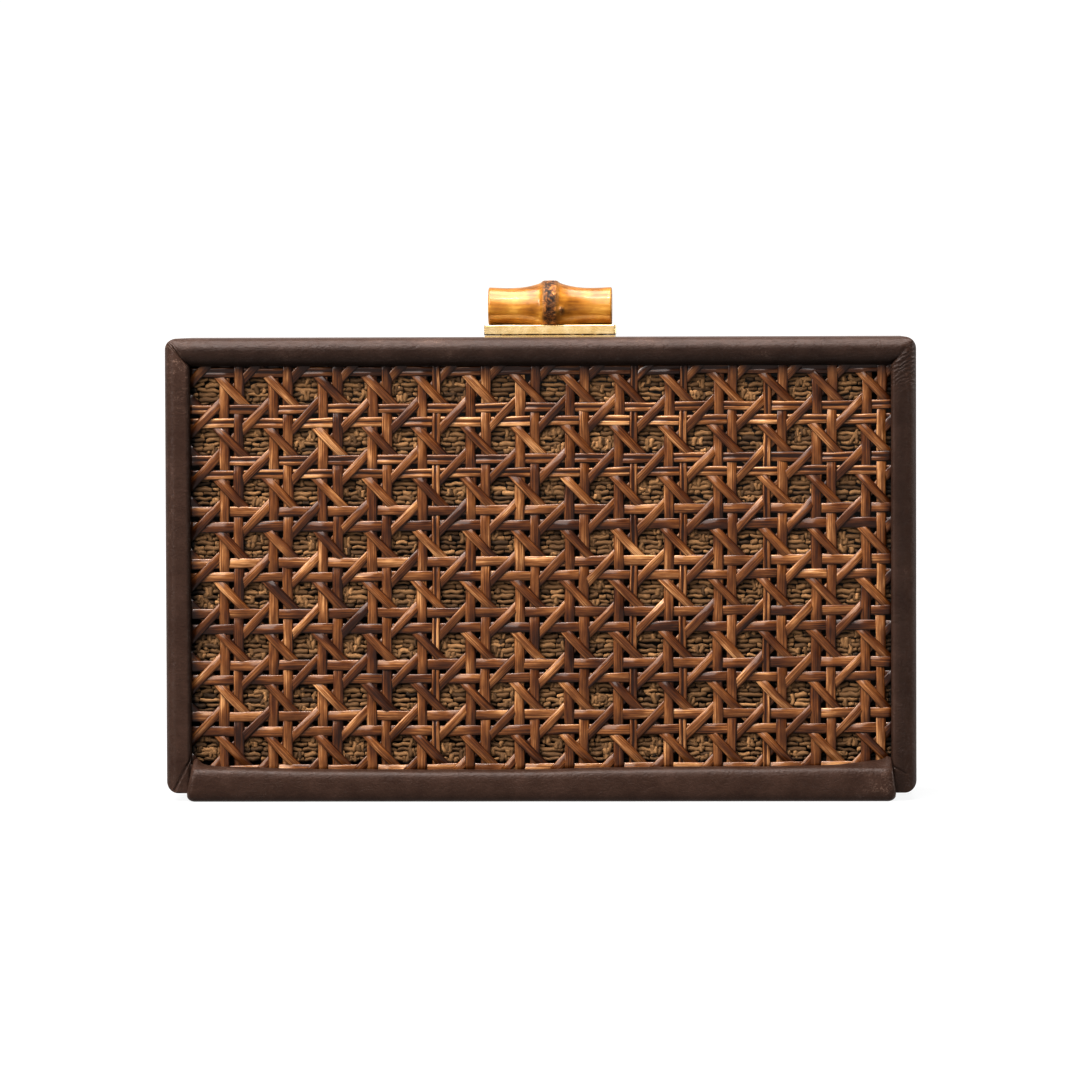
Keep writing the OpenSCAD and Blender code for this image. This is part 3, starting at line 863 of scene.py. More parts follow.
@dataclass
class BottomRoll:
    """Padded leather roll along the bottom edge of one tray."""

    sizes: BagSizes
    half: Half
    stations: int = 300
    wave: float = 0.14
    end_r: float = 2.4
    tail_t: float = 0.75
    seed: int = 5

    def edge_rise(self, x: Array, half_w: float) -> Array:
        """Rise of the roll's upper edge: steep in the left corner, long and gentle towards the right one.

        Args:
            x: Places along the roll.
            half_w: Half of the roll's length.

        Returns:
            Rise in millimetres.
        """
        left, right = x + half_w - 1.6, half_w - 1.6 - x
        return 0.8 * decay(left, 4.0) + 1.4 * decay(left, 1.6) + 1.7 * bell(right, 9.5) + 0.9 * decay(right, 0.9)

    def build(self, material: bpy.types.Material) -> bpy.types.Object:
        """Carries a rounded section along the bottom edge.

        The section is a superellipse that shrinks over the round ends, which lean inward with height. Slow waves
        move its upper edge, which sags left of the middle, and its rear edge rises into each corner.

        Args:
            material: Leather.

        Returns:
            The roll.
        """
        low, high = node_box("front_bottom_roll")
        front, height, half_w = -low[1], high[2], high[0]
        rng = np.random.default_rng(self.seed)
        even = np.linspace(-1, 1, self.stations)
        x = half_w * (0.45 * even + 0.55 * np.sin(even * math.pi / 2))
        angle = np.linspace(0, TURN, 60, endpoint=False)
        back = self.sizes.cane_front - 0.4
        mid_y, mid_z = (front + back) / 2, height / 2
        cos, sin = np.cos(angle), np.sin(angle)
        ring_y = (front - mid_y) * np.sign(cos) * np.abs(cos) ** 0.58
        ring_z = mid_z * np.sign(sin) * np.abs(sin) ** 0.62
        to_end = step(np.abs(x), half_w - self.end_r, self.end_r)
        size = np.sqrt(np.maximum(1 - to_end ** 2, 0))[:, None]
        depth = mid_y + ring_y * (0.62 + 0.38 * size)
        level = mid_z + ring_z * np.where(ring_z < 0, 0.55 + 0.45 * size, 0.9 + 0.1 * size)
        upper = np.clip(ring_z / mid_z, 0, 1)
        rear = np.clip(0.55 - ring_y / (front - mid_y), 0, 1)
        sag = 0.95 * bell(x + 25.0, 50.0)[:, None]
        waves = wobble(x, rng, self.wave, 55.0)[:, None]
        level = np.maximum(level + upper * (waves - sag) + upper * rear * self.edge_rise(x, half_w)[:, None], 0)
        depth = depth + 0.4 * waves * np.clip(ring_y, 0, 1)
        lean = np.where(x < 0, 0.19, 0.13)[:, None] * level
        shift = -np.sign(x)[:, None] * lean * decay(half_w - np.abs(x), 4.0)[:, None]
        points = np.stack([x[:, None] + shift, -depth, level], -1)
        crease = 0.1 + 0.8 * bell(half_w - np.abs(points[..., 0]), 14.0)
        return tube_object("padded_roll", self.half, points, material, {"crease": crease})

    def build_tail(self, material: bpy.types.Material) -> bpy.types.Object:
        """Leather strip under the bottom wall, from the roll to the hinge leaf, with an eased rear edge."""
        s, thick = self.sizes, self.tail_t
        leaf_edge = -node_box("hinge_front_leaf")[0][1]
        x = np.linspace(-1, 1, 60)[:, None] * (s.half_w - s.side_rail - 0.1)
        eased = leaf_edge + np.array([0.8, 0.4, 0.4, 0.8])
        depth = np.concatenate([[s.cane_front], eased, [s.cane_front]])
        level = s.frame_bottom - np.array([0.0, 0.0, 0.2, thick - 0.2, thick, thick])
        points = np.stack(np.broadcast_arrays(x, -depth, level), -1)
        return tube_object("roll_tail", self.half, points, material, {"crease": np.zeros(1)})

    def build_flap(self, side: int, slant: float, lift: float, material: bpy.types.Material) -> bpy.types.Object:
        """Leather tucked between the roll's end and a side rail.

        It follows the rail's round face, steps up along a slanting edge and ends behind the roll.

        Args:
            side: -1 for the left end, 1 for the right one.
            slant: How far its edge runs outward towards the foot.
            lift: Height of the step.
            material: Leather.

        Returns:
            The flap.
        """
        s = self.sizes
        r = s.side_rail / 2
        low, high = s.rail_lift + 0.2, 9.3
        z = np.linspace(low, high, 40)[:, None]
        outer = s.side_rail - 0.9 - slant * (1 - (z - low) / (high - low))
        inner = s.half_w - node_box("front_bottom_roll")[1][0] + 0.19 * z + 1.0
        across = np.linspace(0, 1, 24)[None]
        inward = outer + (inner - outer) * across
        face = s.half_d - r + np.sqrt(np.maximum(r ** 2 - (inward - r) ** 2, 0))
        front = np.maximum(face, s.frame_front + 0.3) + lift * np.sin(np.clip(6 * across, 0, 1) * math.pi / 2)
        x = np.concatenate([inward, inner, outer], 1)
        depth = np.concatenate([front, 0 * inner + s.frame_front, 0 * outer + s.frame_front - 0.5], 1)
        points = np.stack([side * (s.half_w - x), -depth, z + 0 * x], -1)
        end = "left" if side < 0 else "right"
        return tube_object(f"{end}_flap", self.half, points, material, {"crease": np.full(1, 0.5)})

    def dress(self, finishes: Finishes) -> None:
        """Makes the roll, its tail and the flaps at its ends."""
        leather = finishes.leather
        roll = self.build(leather)
        settle(roll, self.half.body, f"{self.half.value}_bottom_roll")
        for piece in (self.build_tail(leather), self.build_flap(-1, 3.4, 0.25, leather),
                      self.build_flap(1, 0.8, 0.06, leather)):
            settle(piece, self.half.body)


@dataclass
class Bundle:
    """Strands gathered into one mesh: points, faces, tones and strand coordinates."""

    points: list[Array] = field(default_factory=list)
    faces: list[list[int]] = field(default_factory=list)
    tones: list[Array] = field(default_factory=list)
    strands: list[Array] = field(default_factory=list)
    count: int = 0

    def gather(self, points: Array, faces: list[list[int]], tones: Array, strands: Array) -> None:
        """Adds one closed shape, or many of them.

        Args:
            points: Its points, x, y and z on the last axis.
            faces: Point indices of each face, counted from its own first point.
            tones: Tone of each point.
            strands: Length and width coordinates of each point.
        """
        self.points.append(points.reshape(-1, 3))
        self.faces += [[self.count + k for k in face] for face in faces]
        self.tones.append(tones.ravel())
        self.strands.append(strands.reshape(-1, 2))
        self.count += len(self.points[-1])

    def sweep(self, path: Array, roll: Array, section: Array, tone: Array, width: Array) -> None:
        """Carries a section along a path that faces the front.

        The section's width lies across the path and its height towards the front, both turned by the roll.

        Args:
            path: Points of the path.
            roll: Turn of the section about the path at each point, in radians.
            section: Loop of width shares, heights and painted shades.
            tone: Tone at each point of the path.
            width: Width of the strand at each point of the path.
        """
        tangent = np.gradient(path, axis=0)
        tangent /= np.linalg.norm(tangent, axis=1, keepdims=True)
        across = np.cross(tangent, np.array([0.0, -1.0, 0.0]))
        across /= np.linalg.norm(across, axis=1, keepdims=True)
        lift = np.cross(across, tangent)
        cos, sin = np.cos(roll)[:, None], np.sin(roll)[:, None]
        side, crown = cos * across + sin * lift, cos * lift - sin * across
        flat = section[:, 0][None, :, None] * width[:, None, None] / 2
        points = path[:, None] + flat * side[:, None] + section[:, 1][None, :, None] * crown[:, None]
        run = np.concatenate([[0], np.cumsum(np.linalg.norm(np.diff(path, axis=0), axis=1))])
        # Each strand takes its own stretch of the texture
        offset = 37.0 * len(self.points)
        strand = np.stack(np.broadcast_arrays(run[:, None] + offset, section[:, 0][None] + offset), -1)
        self.gather(points, tube_faces(*points.shape[:2]), tone[:, None] + section[:, 2], strand)

    def mesh(self, name: str, half: Half, material: bpy.types.Material) -> bpy.types.Object:
        """Makes one object of the whole bundle."""
        return mesh_object(f"{half.value}_{name}", half.place(np.concatenate(self.points)), self.faces, material,
                           {"tone": np.concatenate(self.tones)}, np.concatenate(self.strands))


@dataclass(frozen=True)
class WeaveGrid:
    """Places of the strand pairs and of the gaps between them."""

    pitch_x: float = 12.51
    pitch_z: float = 13.0
    pair_gap: float = 3.7
    columns: int = 15
    rows: int = 8
    shift: float = 2.95
    base_z: float = 6.85
    slant: float = 0.0046
    tilt: float = 0.0053
    middle_z: float = 58.7
    gap_r: float = 3.2
    gap_rim: float = 0.7

    @property
    def left(self) -> float:
        """Place of the first upright pair."""
        return self.shift - self.columns / 2 * self.pitch_x

    def stretched(self, flat: Array) -> Array:
        """Moves points of the true grid to where the webbing was pulled: slanted uprights and tilted level pairs.

        Args:
            flat: Points with x and z on the last axis.

        Returns:
            The moved points.
        """
        return flat + np.stack([self.slant * (flat[..., 1] - self.middle_z), self.tilt * flat[..., 0]], -1)

    def cover(self, x: Array, z: Array) -> Array:
        """How far a place lies under the strands: the distance from the nearest gap's middle, eased past its rim.

        Args:
            x: Places across the panel.
            z: Heights.

        Returns:
            0 in the gaps to 1 under the strands.
        """
        true_x, true_z = x - self.slant * (z - self.middle_z), z - self.tilt * x
        across = np.abs((true_x - self.left) / self.pitch_x % 1 - 0.5) * self.pitch_x
        up = np.abs((true_z - self.base_z) / self.pitch_z % 1 - 0.5) * self.pitch_z
        away = np.maximum(np.maximum(across, up), (across + up) * 0.65)
        return step(away, self.gap_r, self.gap_rim)


@dataclass
class CaneWeave:
    """Six-way cane webbing of one tray: upright and level pairs with two diagonals between them."""

    NARROW: ClassVar[set[tuple[int, int]]] = {(5, 1), (9, 1), (10, 1), (12, -1)}

    sizes: BagSizes
    half: Half
    grid: WeaveGrid
    strand_w: float = 2.48
    strand_t: float = 0.6
    diagonal_w: float = 2.3
    station: float = 1.5
    margin: float = 1.2
    pair_rise: float = 0.3
    diagonal_rise: float = 0.47
    sharpness: float = 3.2
    foot_drop: float = 0.75
    seed: int = 11

    def __post_init__(self) -> None:
        """Works out the weave's limits and starts its bundle."""
        self.rng = np.random.default_rng(self.seed)
        self.middle = (self.sizes.cane_front - self.sizes.cane_back) / 2
        self.low, self.high = self.sizes.panel_low + self.margin, self.sizes.panel_high - self.margin
        self.bundle = Bundle()

    def section(self, peel: Peel) -> Array:
        """Loop of a split strand: thin edges, narrow bevels and a nearly flat face, or two ridges with a groove.

        Args:
            peel: How the strand's face looks.

        Returns:
            Width shares from -1 to 1, heights in millimetres and painted shades.
        """
        # The third number is painted light and shade: lighter on the upper or left edge, darker on the lower or right
        # edge, in the groove and underneath
        face = {Peel.FLAT: [[-0.93, 0.6, 0.02], [-0.72, 1.0, 0.07], [0.0, 1.2, 0.0], [0.72, 1.0, -0.08],
                            [0.93, 0.6, -0.22]],
                Peel.GROOVED: [[-0.78, 0.85, 0.14], [-0.42, 1.2, -0.12], [-0.08, 0.1, -0.45], [0.22, 1.1, 0.08],
                               [0.78, 0.85, 0.04]]}[peel]
        loop = np.array([[-0.85, -1.0, -0.5], [-1.0, -0.4, -0.4], [-0.99, 0.3, -0.25], *face,
                         [0.99, 0.3, -0.3], [1.0, -0.4, -0.45], [0.85, -1.0, -0.5]])
        return loop * np.array([1.0, self.strand_t / 2, 1.0])

    def over_under(self, share: Array) -> Array:
        """Height of a pair's strand against its crossings: a skewed sine that peaks near the other pair's strands.

        Args:
            share: Distance from the crossing's middle in pitches.

        Returns:
            Height from -1 to 1.
        """
        turn = TURN * share
        return np.sin(turn) * (1 + 1.2 * np.cos(turn)) / 1.39

    def lay(self, start: Array, end: Array, height: Array, width: float, peel: Peel = Peel.FLAT) -> None:
        """Lays one strand between two points of the panel.

        Args:
            start: First point, x and z.
            end: Last point, x and z.
            height: Height above the mat at each station.
            width: Width of the strand.
            peel: How the strand's face looks.
        """
        rng = self.rng
        share = np.linspace(0, 1, len(height))[:, None]
        length = float(np.linalg.norm(end - start))
        run = share[:, 0] * length
        normal = np.array([-(end - start)[1], (end - start)[0]]) / max(length, 1e-9)
        flat = start + (end - start) * share
        flat = flat + normal * (wobble(run, rng, 0.16, 45.0) + rng.normal(0, 0.08))[:, None]
        flat = self.grid.stretched(flat)
        path = np.stack([flat[:, 0], -(self.sizes.cane_back + height), flat[:, 1]], -1)
        roll = wobble(run, rng, 0.2, 30.0) + rng.normal(0, 0.06)
        tone = rng.normal(-0.1, 0.07) + wobble(run, rng, 0.15, 38.0)
        # Painted shade: darker towards the rails round the panel
        tone = tone - 0.4 * self.sizes.crevice(flat[:, 0], flat[:, 1])
        widths = width * (1 + wobble(run, rng, 0.07, 22.0) + rng.normal(0, 0.03))
        self.bundle.sweep(path, roll, self.section(peel), tone, widths)

    def stations(self, first: float, last: float, length: float) -> Array:
        """Places along a strand, evenly spread.

        Args:
            first: First place.
            last: Last place.
            length: Length of the strand, which gives their count.

        Returns:
            The places.
        """
        return np.linspace(first, last, max(4, int(length / self.station)))

    def lay_pairs(self) -> None:
        """Lays the upright and level pairs.

        The left upright passes over the upper level strand and under the lower one, and the right upright the
        other way round. The level strands fill the other crossings.
        """
        grid, low, high = self.grid, self.low, self.high
        for i in range(grid.columns):
            for side in (-1, 1):
                x = grid.left + i * grid.pitch_x + side * grid.pair_gap / 2
                if x < low[0] + self.strand_w / 2:
                    continue
                z = self.stations(low[2], high[2], high[2] - low[2])
                height = self.middle - side * self.pair_rise * self.over_under((z - grid.base_z) / grid.pitch_z)
                share, peel = (0.8, Peel.GROOVED) if (i, side) in self.NARROW else (1.05, Peel.FLAT)
                self.lay(np.array([x, low[2]]), np.array([x, high[2]]), height, self.strand_w * share, peel)
        for j in range(grid.rows + 1):
            for side in (-1, 1):
                z = grid.base_z + j * grid.pitch_z + side * grid.pair_gap / 2 - (0 if j else self.foot_drop)
                if not low[2] < z < high[2]:
                    continue
                x = self.stations(low[0], high[0], high[0] - low[0])
                height = self.middle + side * self.pair_rise * self.over_under((x - grid.left) / grid.pitch_x)
                peel = Peel.GROOVED if j >= grid.rows - 2 else Peel.FLAT
                self.lay(np.array([low[0], z]), np.array([high[0], z]), height, self.strand_w * 1.05, peel)

    def lay_diagonals(self) -> None:
        """Lays the diagonals: falling ones over the upright pairs, rising ones over the level pairs.

        A diagonal's height is a cosine sharpened by tanh, with one crest and one dip for each cell.
        """
        grid = self.grid
        levels = np.array([self.low[2], self.high[2]])
        for lean in (-1, 1):
            for k in range(-grid.rows - 2, grid.columns + grid.rows + 2):
                # The line through the midpoints: rising ones hold x - z, falling ones x + z, in pitches
                x = (k + 0.5 + lean * (levels - grid.base_z) / grid.pitch_z) * grid.pitch_x + grid.left
                cut = self.clip(*np.stack([x, levels], -1), self.low[0], self.high[0])
                if cut is None:
                    continue
                start, end = cut
                x = self.stations(start[0], end[0], float(np.linalg.norm(end - start)))
                wave = np.cos(TURN * (x - grid.left) / grid.pitch_x)
                over = np.tanh(self.sharpness * wave) / math.tanh(self.sharpness)
                self.lay(start, end, self.middle - lean * self.diagonal_rise * over, self.diagonal_w)

    @staticmethod
    def clip(start: Array, end: Array, left: float, right: float) -> tuple[Array, Array] | None:
        """Cuts a line to the panel's width.

        Args:
            start: First point, x and z.
            end: Last point, x and z.
            left: Left limit.
            right: Right limit.

        Returns:
            The cut line, or nothing where little is left of it.
        """
        run = (end - start)[0]
        first, last = sorted(((left - start[0]) / run, (right - start[0]) / run))
        first, last = max(first, 0.0), min(last, 1.0)
        if last - first < 0.03:
            return None
        return start + (end - start) * first, start + (end - start) * last

    def dress(self, finishes: Finishes) -> None:
        """Weaves the panel and lets it stand for its CAD node."""
        self.lay_pairs()
        self.lay_diagonals()
        piece = self.bundle.mesh("cane_webbing", self.half, finishes.cane)
        settle(piece, self.half.body, f"{self.half.value}_cane_panel")


@dataclass
class RaffiaMat:
    """Raffia mat behind the cane: level floats with short upright bits between them."""

    sizes: BagSizes
    half: Half
    grid: WeaveGrid
    row: float = 1.25
    float_len: float = 4.2
    strand_w: float = 1.3
    strand_t: float = 0.92
    bow: float = 0.19
    bulge: float = 0.3
    ground_t: float = 0.25
    ground_tone: float = -0.35
    seed: int = 23

    def floats(self, centres: Array, lengths: Array, turns: Array, tones: Array, raise_by: Array) -> tuple:
        """Round bits of raffia: a ring of five points carried along each bit, which snakes and has blunt ends.

        Args:
            centres: Middle of each bit, x and z.
            lengths: Length of each bit.
            turns: Turn of each bit in the panel, in radians.
            tones: Tone of each bit.
            raise_by: Distance of each bit in front of the mat's middle.

        Returns:
            Points, faces, tones and strand coordinates.
        """
        along = np.array([-1.0, -0.9, -0.45, 0.0, 0.45, 0.9, 1.0])[:, None]
        swell = np.array([0.5, 0.88, 1.0, 0.93, 1.0, 0.88, 0.5])[:, None]
        angle = np.linspace(0, TURN, 5, endpoint=False) + math.pi / 10
        mid_x, mid_z, lengths, turns, tones, raise_by = (
            numbers[:, None, None] for numbers in (*centres.T, lengths, turns, tones, raise_by))
        thick = 1 + 0.22 * np.sin(5.1 * mid_x + 3.7 * mid_z)
        phase = 9.7 * mid_x + 4.1 * mid_z
        run = along * lengths / 2
        wide = thick * swell * np.cos(angle) * self.strand_w / 2 + self.bow * np.sin(1.9 * run + phase)
        deep = swell * np.sin(angle) * self.strand_t / 2 + 0.1 * np.sin(2.3 * run + 2 * phase)
        run, wide, deep = np.broadcast_arrays(run, wide, deep)
        x = mid_x + np.cos(turns) * run - np.sin(turns) * wide
        z = mid_z + np.sin(turns) * run + np.cos(turns) * wide
        hidden = self.grid.cover(x, z)
        middle = (self.sizes.cane_back + self.sizes.mat_back) / 2
        points = np.stack([x, -(middle + raise_by + deep + self.bulge * (1 - hidden)), z], -1)
        bits, rings, ring = points.shape[:3]
        *quads, first_cap, last_cap = tube_faces(rings, ring)
        index = np.arange(bits)[:, None, None]
        starts = index * rings * ring
        faces = (np.array(quads) + starts).reshape(-1, 4).tolist()
        faces += (np.array([first_cap, last_cap]) + starts).reshape(-1, ring).tolist()
        # Painted shade: darker under the cane strands and towards the rails
        tone = tones - 0.6 * hidden - 0.5 * self.sizes.crevice(x, z)
        return points, faces, tone, np.stack([run + 11.0 * index, wide + 3.7 * index], -1)

    def build(self, material: bpy.types.Material) -> bpy.types.Object:
        """Sows the floats row by row, puts upright bits over their gaps and a dark ground behind them, which paints
        the shade between the bits.
        """
        rng = np.random.default_rng(self.seed)
        low, high = self.sizes.panel_low + 1.0, self.sizes.panel_high - 1.0
        rows = np.arange(low[2] + 0.6, high[2] - 0.6, self.row)
        width = high[0] - low[0]
        lengths = rng.uniform(1.4, 7.0, (len(rows), int(width / self.float_len)))
        lengths *= (width / lengths.sum(1))[:, None]
        ends = low[0] + np.cumsum(lengths, 1)
        middles = ends - lengths / 2
        z = rows[:, None] + rng.normal(0, 0.07, lengths.shape)
        centres = np.stack([middles.ravel(), z.ravel()], -1)
        shown = self.shows(centres, lengths.ravel())
        count = int(shown.sum())
        bundle = Bundle()
        bundle.gather(*self.floats(centres[shown], lengths.ravel()[shown] * 0.98, rng.normal(0, 0.06, count),
                                   rng.normal(0.28, 0.13, count), rng.normal(0.0, 0.1, count)))
        picked = rng.random(lengths.shape) < 0.26
        spots = np.stack([ends[picked], z[picked] + rng.uniform(-0.5, 0.5, picked.sum())], -1)
        spots = (spots[:, None] + np.array([[-0.9, 0.0], [0.0, 0.0], [0.9, 0.0]])).reshape(-1, 2)
        spots = spots[(rng.random(len(spots)) < 0.7) & self.shows(spots, np.full(len(spots), 1.0))]
        within = (spots[:, 1] > low[2] + 1.5) & (spots[:, 1] < high[2] - 1.5)
        spots = spots[(np.abs(spots[:, 0]) < high[0] - 0.6) & within]
        bits = len(spots)
        bundle.gather(*self.floats(spots, rng.uniform(1.4, 3.0, bits), math.pi / 2 + rng.normal(0, 0.15, bits),
                                   rng.normal(0.32, 0.13, bits), rng.normal(0.16, 0.06, bits)))
        bundle.gather(*self.ground(low - 0.8, high + 0.8))
        return bundle.mesh("raffia_mat", self.half, material)

    def shows(self, centres: Array, lengths: Array) -> Array:
        """Finds the level bits of which some part lies in a gap of the cane.

        Args:
            centres: Middle of each bit, x and z.
            lengths: Length of each bit.

        Returns:
            True for each bit that shows.
        """
        spans = centres[:, :1] + lengths[:, None] * np.linspace(-0.5, 0.5, 5)
        return (self.grid.cover(spans, centres[:, 1:]) < 1).any(1)

    def ground(self, low: Array, high: Array) -> tuple:
        """Thin slab that the raffia lies on, toned near black to paint the shade in the gaps between the bits.

        Args:
            low: Lowest corner.
            high: Highest corner.

        Returns:
            Points, faces, tones and strand coordinates.
        """
        back = self.sizes.mat_back
        corners = np.array([[x, -y, z] for y in (back, back + self.ground_t) for x, z in
                            ((low[0], low[2]), (high[0], low[2]), (high[0], high[2]), (low[0], high[2]))])
        return corners, BOX_QUADS, np.full(8, self.ground_tone), corners[:, [0, 2]]

    def dress(self, finishes: Finishes) -> None:
        """Makes the mat and lets it stand for its CAD node."""
        settle(self.build(finishes.reed), self.half.body, f"{self.half.value}_reed_mat")


@dataclass
class Clasp:
    """Bamboo piece on its gold lever."""

    end_r: float = 4.9
    seat_sink: float = 0.15
    waist: float = 0.25
    swell: float = 1.35
    node_rise: float = 0.45
    node_w: float = 4.1
    edge_r: float = 0.5
    wall: float = 1.0
    bevel: float = 0.14
    rim_drop: float = 0.12
    plate_r: float = 0.5
    knuckle_len: float = 16.0
    knuckle_gap: float = 0.3
    seed: int = 3

    def radius(self, x: Array, half: float) -> Array:
        """Radius along the bamboo: end radius, less a sine waist, plus a swelling and the node's ring.

        Args:
            x: Distance from the middle in millimetres.
            half: Half of the bamboo's length.

        Returns:
            Radius in millimetres.
        """
        away = np.abs(x)
        share = step(away, self.node_w / 2, half - self.node_w / 2)
        ring = np.exp(-(away / (self.node_w * 0.47)) ** 4) * self.node_rise
        lips = 0.12 * bell(away - self.node_w * 0.42, 0.45)
        into_rim = np.clip(away - half + self.edge_r, 0, None)
        rim = self.edge_r - np.sqrt(np.maximum(self.edge_r ** 2 - into_rim ** 2, 0))
        return self.end_r - self.waist * np.sin(math.pi * share) + self.swell * (1 - share) ** 3.6 + ring + lips - rim

    def build_bamboo(self, material: bpy.types.Material) -> bpy.types.Object:
        """Turns the radius curve about the bamboo's axis, with rough noise on the node, and planes its seat flat.

        Args:
            material: Bamboo.

        Returns:
            The bamboo piece.
        """
        low, high = node_box("clasp_bamboo")
        seat, half = low[2], (high[0] - low[0]) / 2
        middle, axis_y = (low[0] + high[0]) / 2, (low[1] + high[1]) / 2
        axis_z = seat + self.end_r - self.seat_sink
        rng = np.random.default_rng(self.seed)
        x = np.concatenate([np.linspace(-half, -half + 0.6, 8)[:-1], np.linspace(-half + 0.6, half - 0.6, 150),
                            np.linspace(half - 0.6, half, 8)[1:]])[:, None]
        angle = np.linspace(0, TURN, 96, endpoint=False)
        scar = np.exp(-(np.abs(x) / (self.node_w * 0.46)) ** 6)
        waves = sum(rng.uniform(0.4, 1.0) * np.sin(m * angle + rng.uniform(0, 6.3) + rng.uniform(-2, 2) * x) / 6
                    for m in range(5, 21, 3))
        stub = bell(x - self.node_w * 0.72, 0.7) * bell(angle - 1.05 * math.pi, 0.14)
        radius = self.radius(x, half) + 0.12 * scar * waves + 0.05 * np.sin(3 * angle + 0.2 * x) + 0.7 * stub
        ring = np.stack([middle + x + 0 * radius, axis_y + radius * np.cos(angle),
                         np.clip(axis_z + radius * np.sin(angle), seat, high[2])], -1)
        rings, count = ring.shape[:2]
        poles = [[middle + side * (half - 0.5), axis_y, axis_z] for side in (-1, 1)]
        points = np.concatenate([ring.reshape(-1, 3), poles])
        # The ends are hollowed a little towards their poles instead of capped flat
        faces = tube_faces(rings, count)[:-2]
        ends = ((0, rings * count), ((rings - 1) * count, rings * count + 1))
        faces += [[first + k, first + (k + 1) % count, pole] for first, pole in ends for k in range(count)]
        # Painted contact shadow along the seat near both ends, in the bark's dark colour
        seat_shadow = bell(ring[..., 2] - seat, 0.45) * np.clip(np.abs(x) / half * 5 - 2.9, 0, 1)
        scar_and_seat_shadow = np.append(np.clip(scar + stub + seat_shadow, 0, 1).ravel(), [0.6, 0.6])
        # Painted shade on the upper side of the skin
        painted_top_shade = np.append(np.tile(np.clip(np.sin(angle), 0, 1), rings), [0, 0])
        return mesh_object("clasp_bamboo_piece", points, faces, material, {"scar": scar_and_seat_shadow, "painted_top_shade": painted_top_shade})

    def build_lever(self, material: bpy.types.Material) -> bpy.types.Object:
        """Stacks rounded rectangles from the hollow's ceiling round the rim to the bevelled top, and adds the knuckle.

        Args:
            material: Gold plate.

        Returns:
            The lever.
        """
        low, high = node_box("clasp_lever")
        pin_low, pin_high = node_box("clasp_pin")
        pivot = (pin_low + pin_high) / 2
        pin_r = (pin_high - pin_low)[2] / 2
        knuckle_r = high[1] - pivot[1]
        back = pivot[1] - knuckle_r - 2 * self.knuckle_gap
        inset = np.array([self.wall, self.wall, 0.12, 0.0, 0.0, 0.0, self.bevel])[:, None]
        # The rim hangs a little lower than the CAD one, so that the slit under it is as thin as in the photo
        rim = low[2] - self.rim_drop
        level = np.array([high[2] - self.wall, rim, rim, rim + 0.12, rim + 0.55, high[2] - self.bevel, high[2]])
        angle = np.linspace(0, TURN, 48, endpoint=False)
        half_x, half_y = (high[0] - low[0]) / 2, (back - low[1]) / 2
        side_x, side_y = np.sign(np.cos(angle + 1e-6)), np.sign(np.sin(angle + 1e-6))
        loop_x = side_x * (half_x - self.plate_r) + self.plate_r * np.cos(angle)
        loop_y = side_y * (half_y - self.plate_r) + self.plate_r * np.sin(angle)
        x = pivot[0] + loop_x * (1 - inset / half_x)
        y = (low[1] + back) / 2 + loop_y * (1 - inset / half_y)
        plate = np.stack([x, y, level[:, None] + 0 * x], -1)
        rings, count = plate.shape[:2]
        reach = self.knuckle_len / 2
        across = np.array([-reach, -reach, reach, reach])[:, None]
        radius = np.array([pin_r, knuckle_r, knuckle_r, pin_r])[:, None]
        tube = np.stack([pivot[0] + across + 0 * angle, pivot[1] + radius * np.cos(angle),
                         pivot[2] + radius * np.sin(angle)], -1)
        web = np.array([[pivot[0] + side * reach, y, z] for side in (-1, 1) for y, z in
                        ((back - 0.3, pivot[2]), (pivot[1], pivot[2] + pin_r + 0.1), (pivot[1], high[2] - 0.15),
                         (back - 0.3, high[2] - 0.15))])
        points = np.concatenate([plate.reshape(-1, 3), tube.reshape(-1, 3), web])
        first, base = rings * count, len(points) - len(web)
        faces = tube_faces(rings, count) + tube_faces(4, count, first)[:-2]
        # The knuckle's last ring meets its first one round the pin
        last = first + 3 * count
        faces += [[last + i, last + (i + 1) % count, first + (i + 1) % count, first + i] for i in range(count)]
        faces += [[base + k for k in quad] for quad in BOX_QUADS]
        # Painted shadow: full on the lower rim, fainter on the top bevel and top
        rim_shadow = np.zeros(len(points))
        rim_shadow[2 * count:4 * count] = 1.0
        rim_shadow[5 * count:7 * count] = 0.4
        piece = mesh_object("clasp_gold_lever", points, faces, material, {"rim_shadow": rim_shadow})
        piece.data.set_sharp_from_angle(angle=math.radians(30))
        return piece

    def dress(self, finishes: Finishes) -> None:
        """Makes the bamboo and the lever."""
        settle(self.build_bamboo(finishes.bamboo), "clasp", "clasp_bamboo")
        settle(self.build_lever(finishes.gold), "clasp", "clasp_lever")


@dataclass(frozen=True)
class HardParts:
    """CAD nodes that keep their own shape and only get their finish."""

    def dress(self, finishes: Finishes) -> None:
        """Gives each node the material of its slot, which has the same name among the finishes."""
        slots = {part["node"]: part["material_slot"] for part in frame["record"]["subparts"]}
        for node, piece in frame["nodes"].items():
            piece.data.materials.clear()
            piece.data.materials.append(getattr(finishes, slots[node]))
        LOG.info("dressed %d CAD nodes", len(frame["nodes"]))


@dataclass(frozen=True)
class SoftBox:
    """Rectangular soft light: where it hangs, the point it faces and its size, in metres, and its power."""

    name: str
    place: tuple[float, float, float]
    aim: tuple[float, float, float]
    size: tuple[float, float]
    watts: float

    def hang(self) -> None:
        """Adds the light to the scene."""
        data = bpy.data.lights.new(self.name, "AREA")
        data.shape = "RECTANGLE"
        data.size, data.size_y = self.size
        data.energy = self.watts
        light = bpy.data.objects.new(self.name, data)
        light.location = self.place
        light.rotation_mode = "QUATERNION"
        light.rotation_quaternion = (Vector(self.aim) - Vector(self.place)).to_track_quat("-Z", "Y")
        link(light)


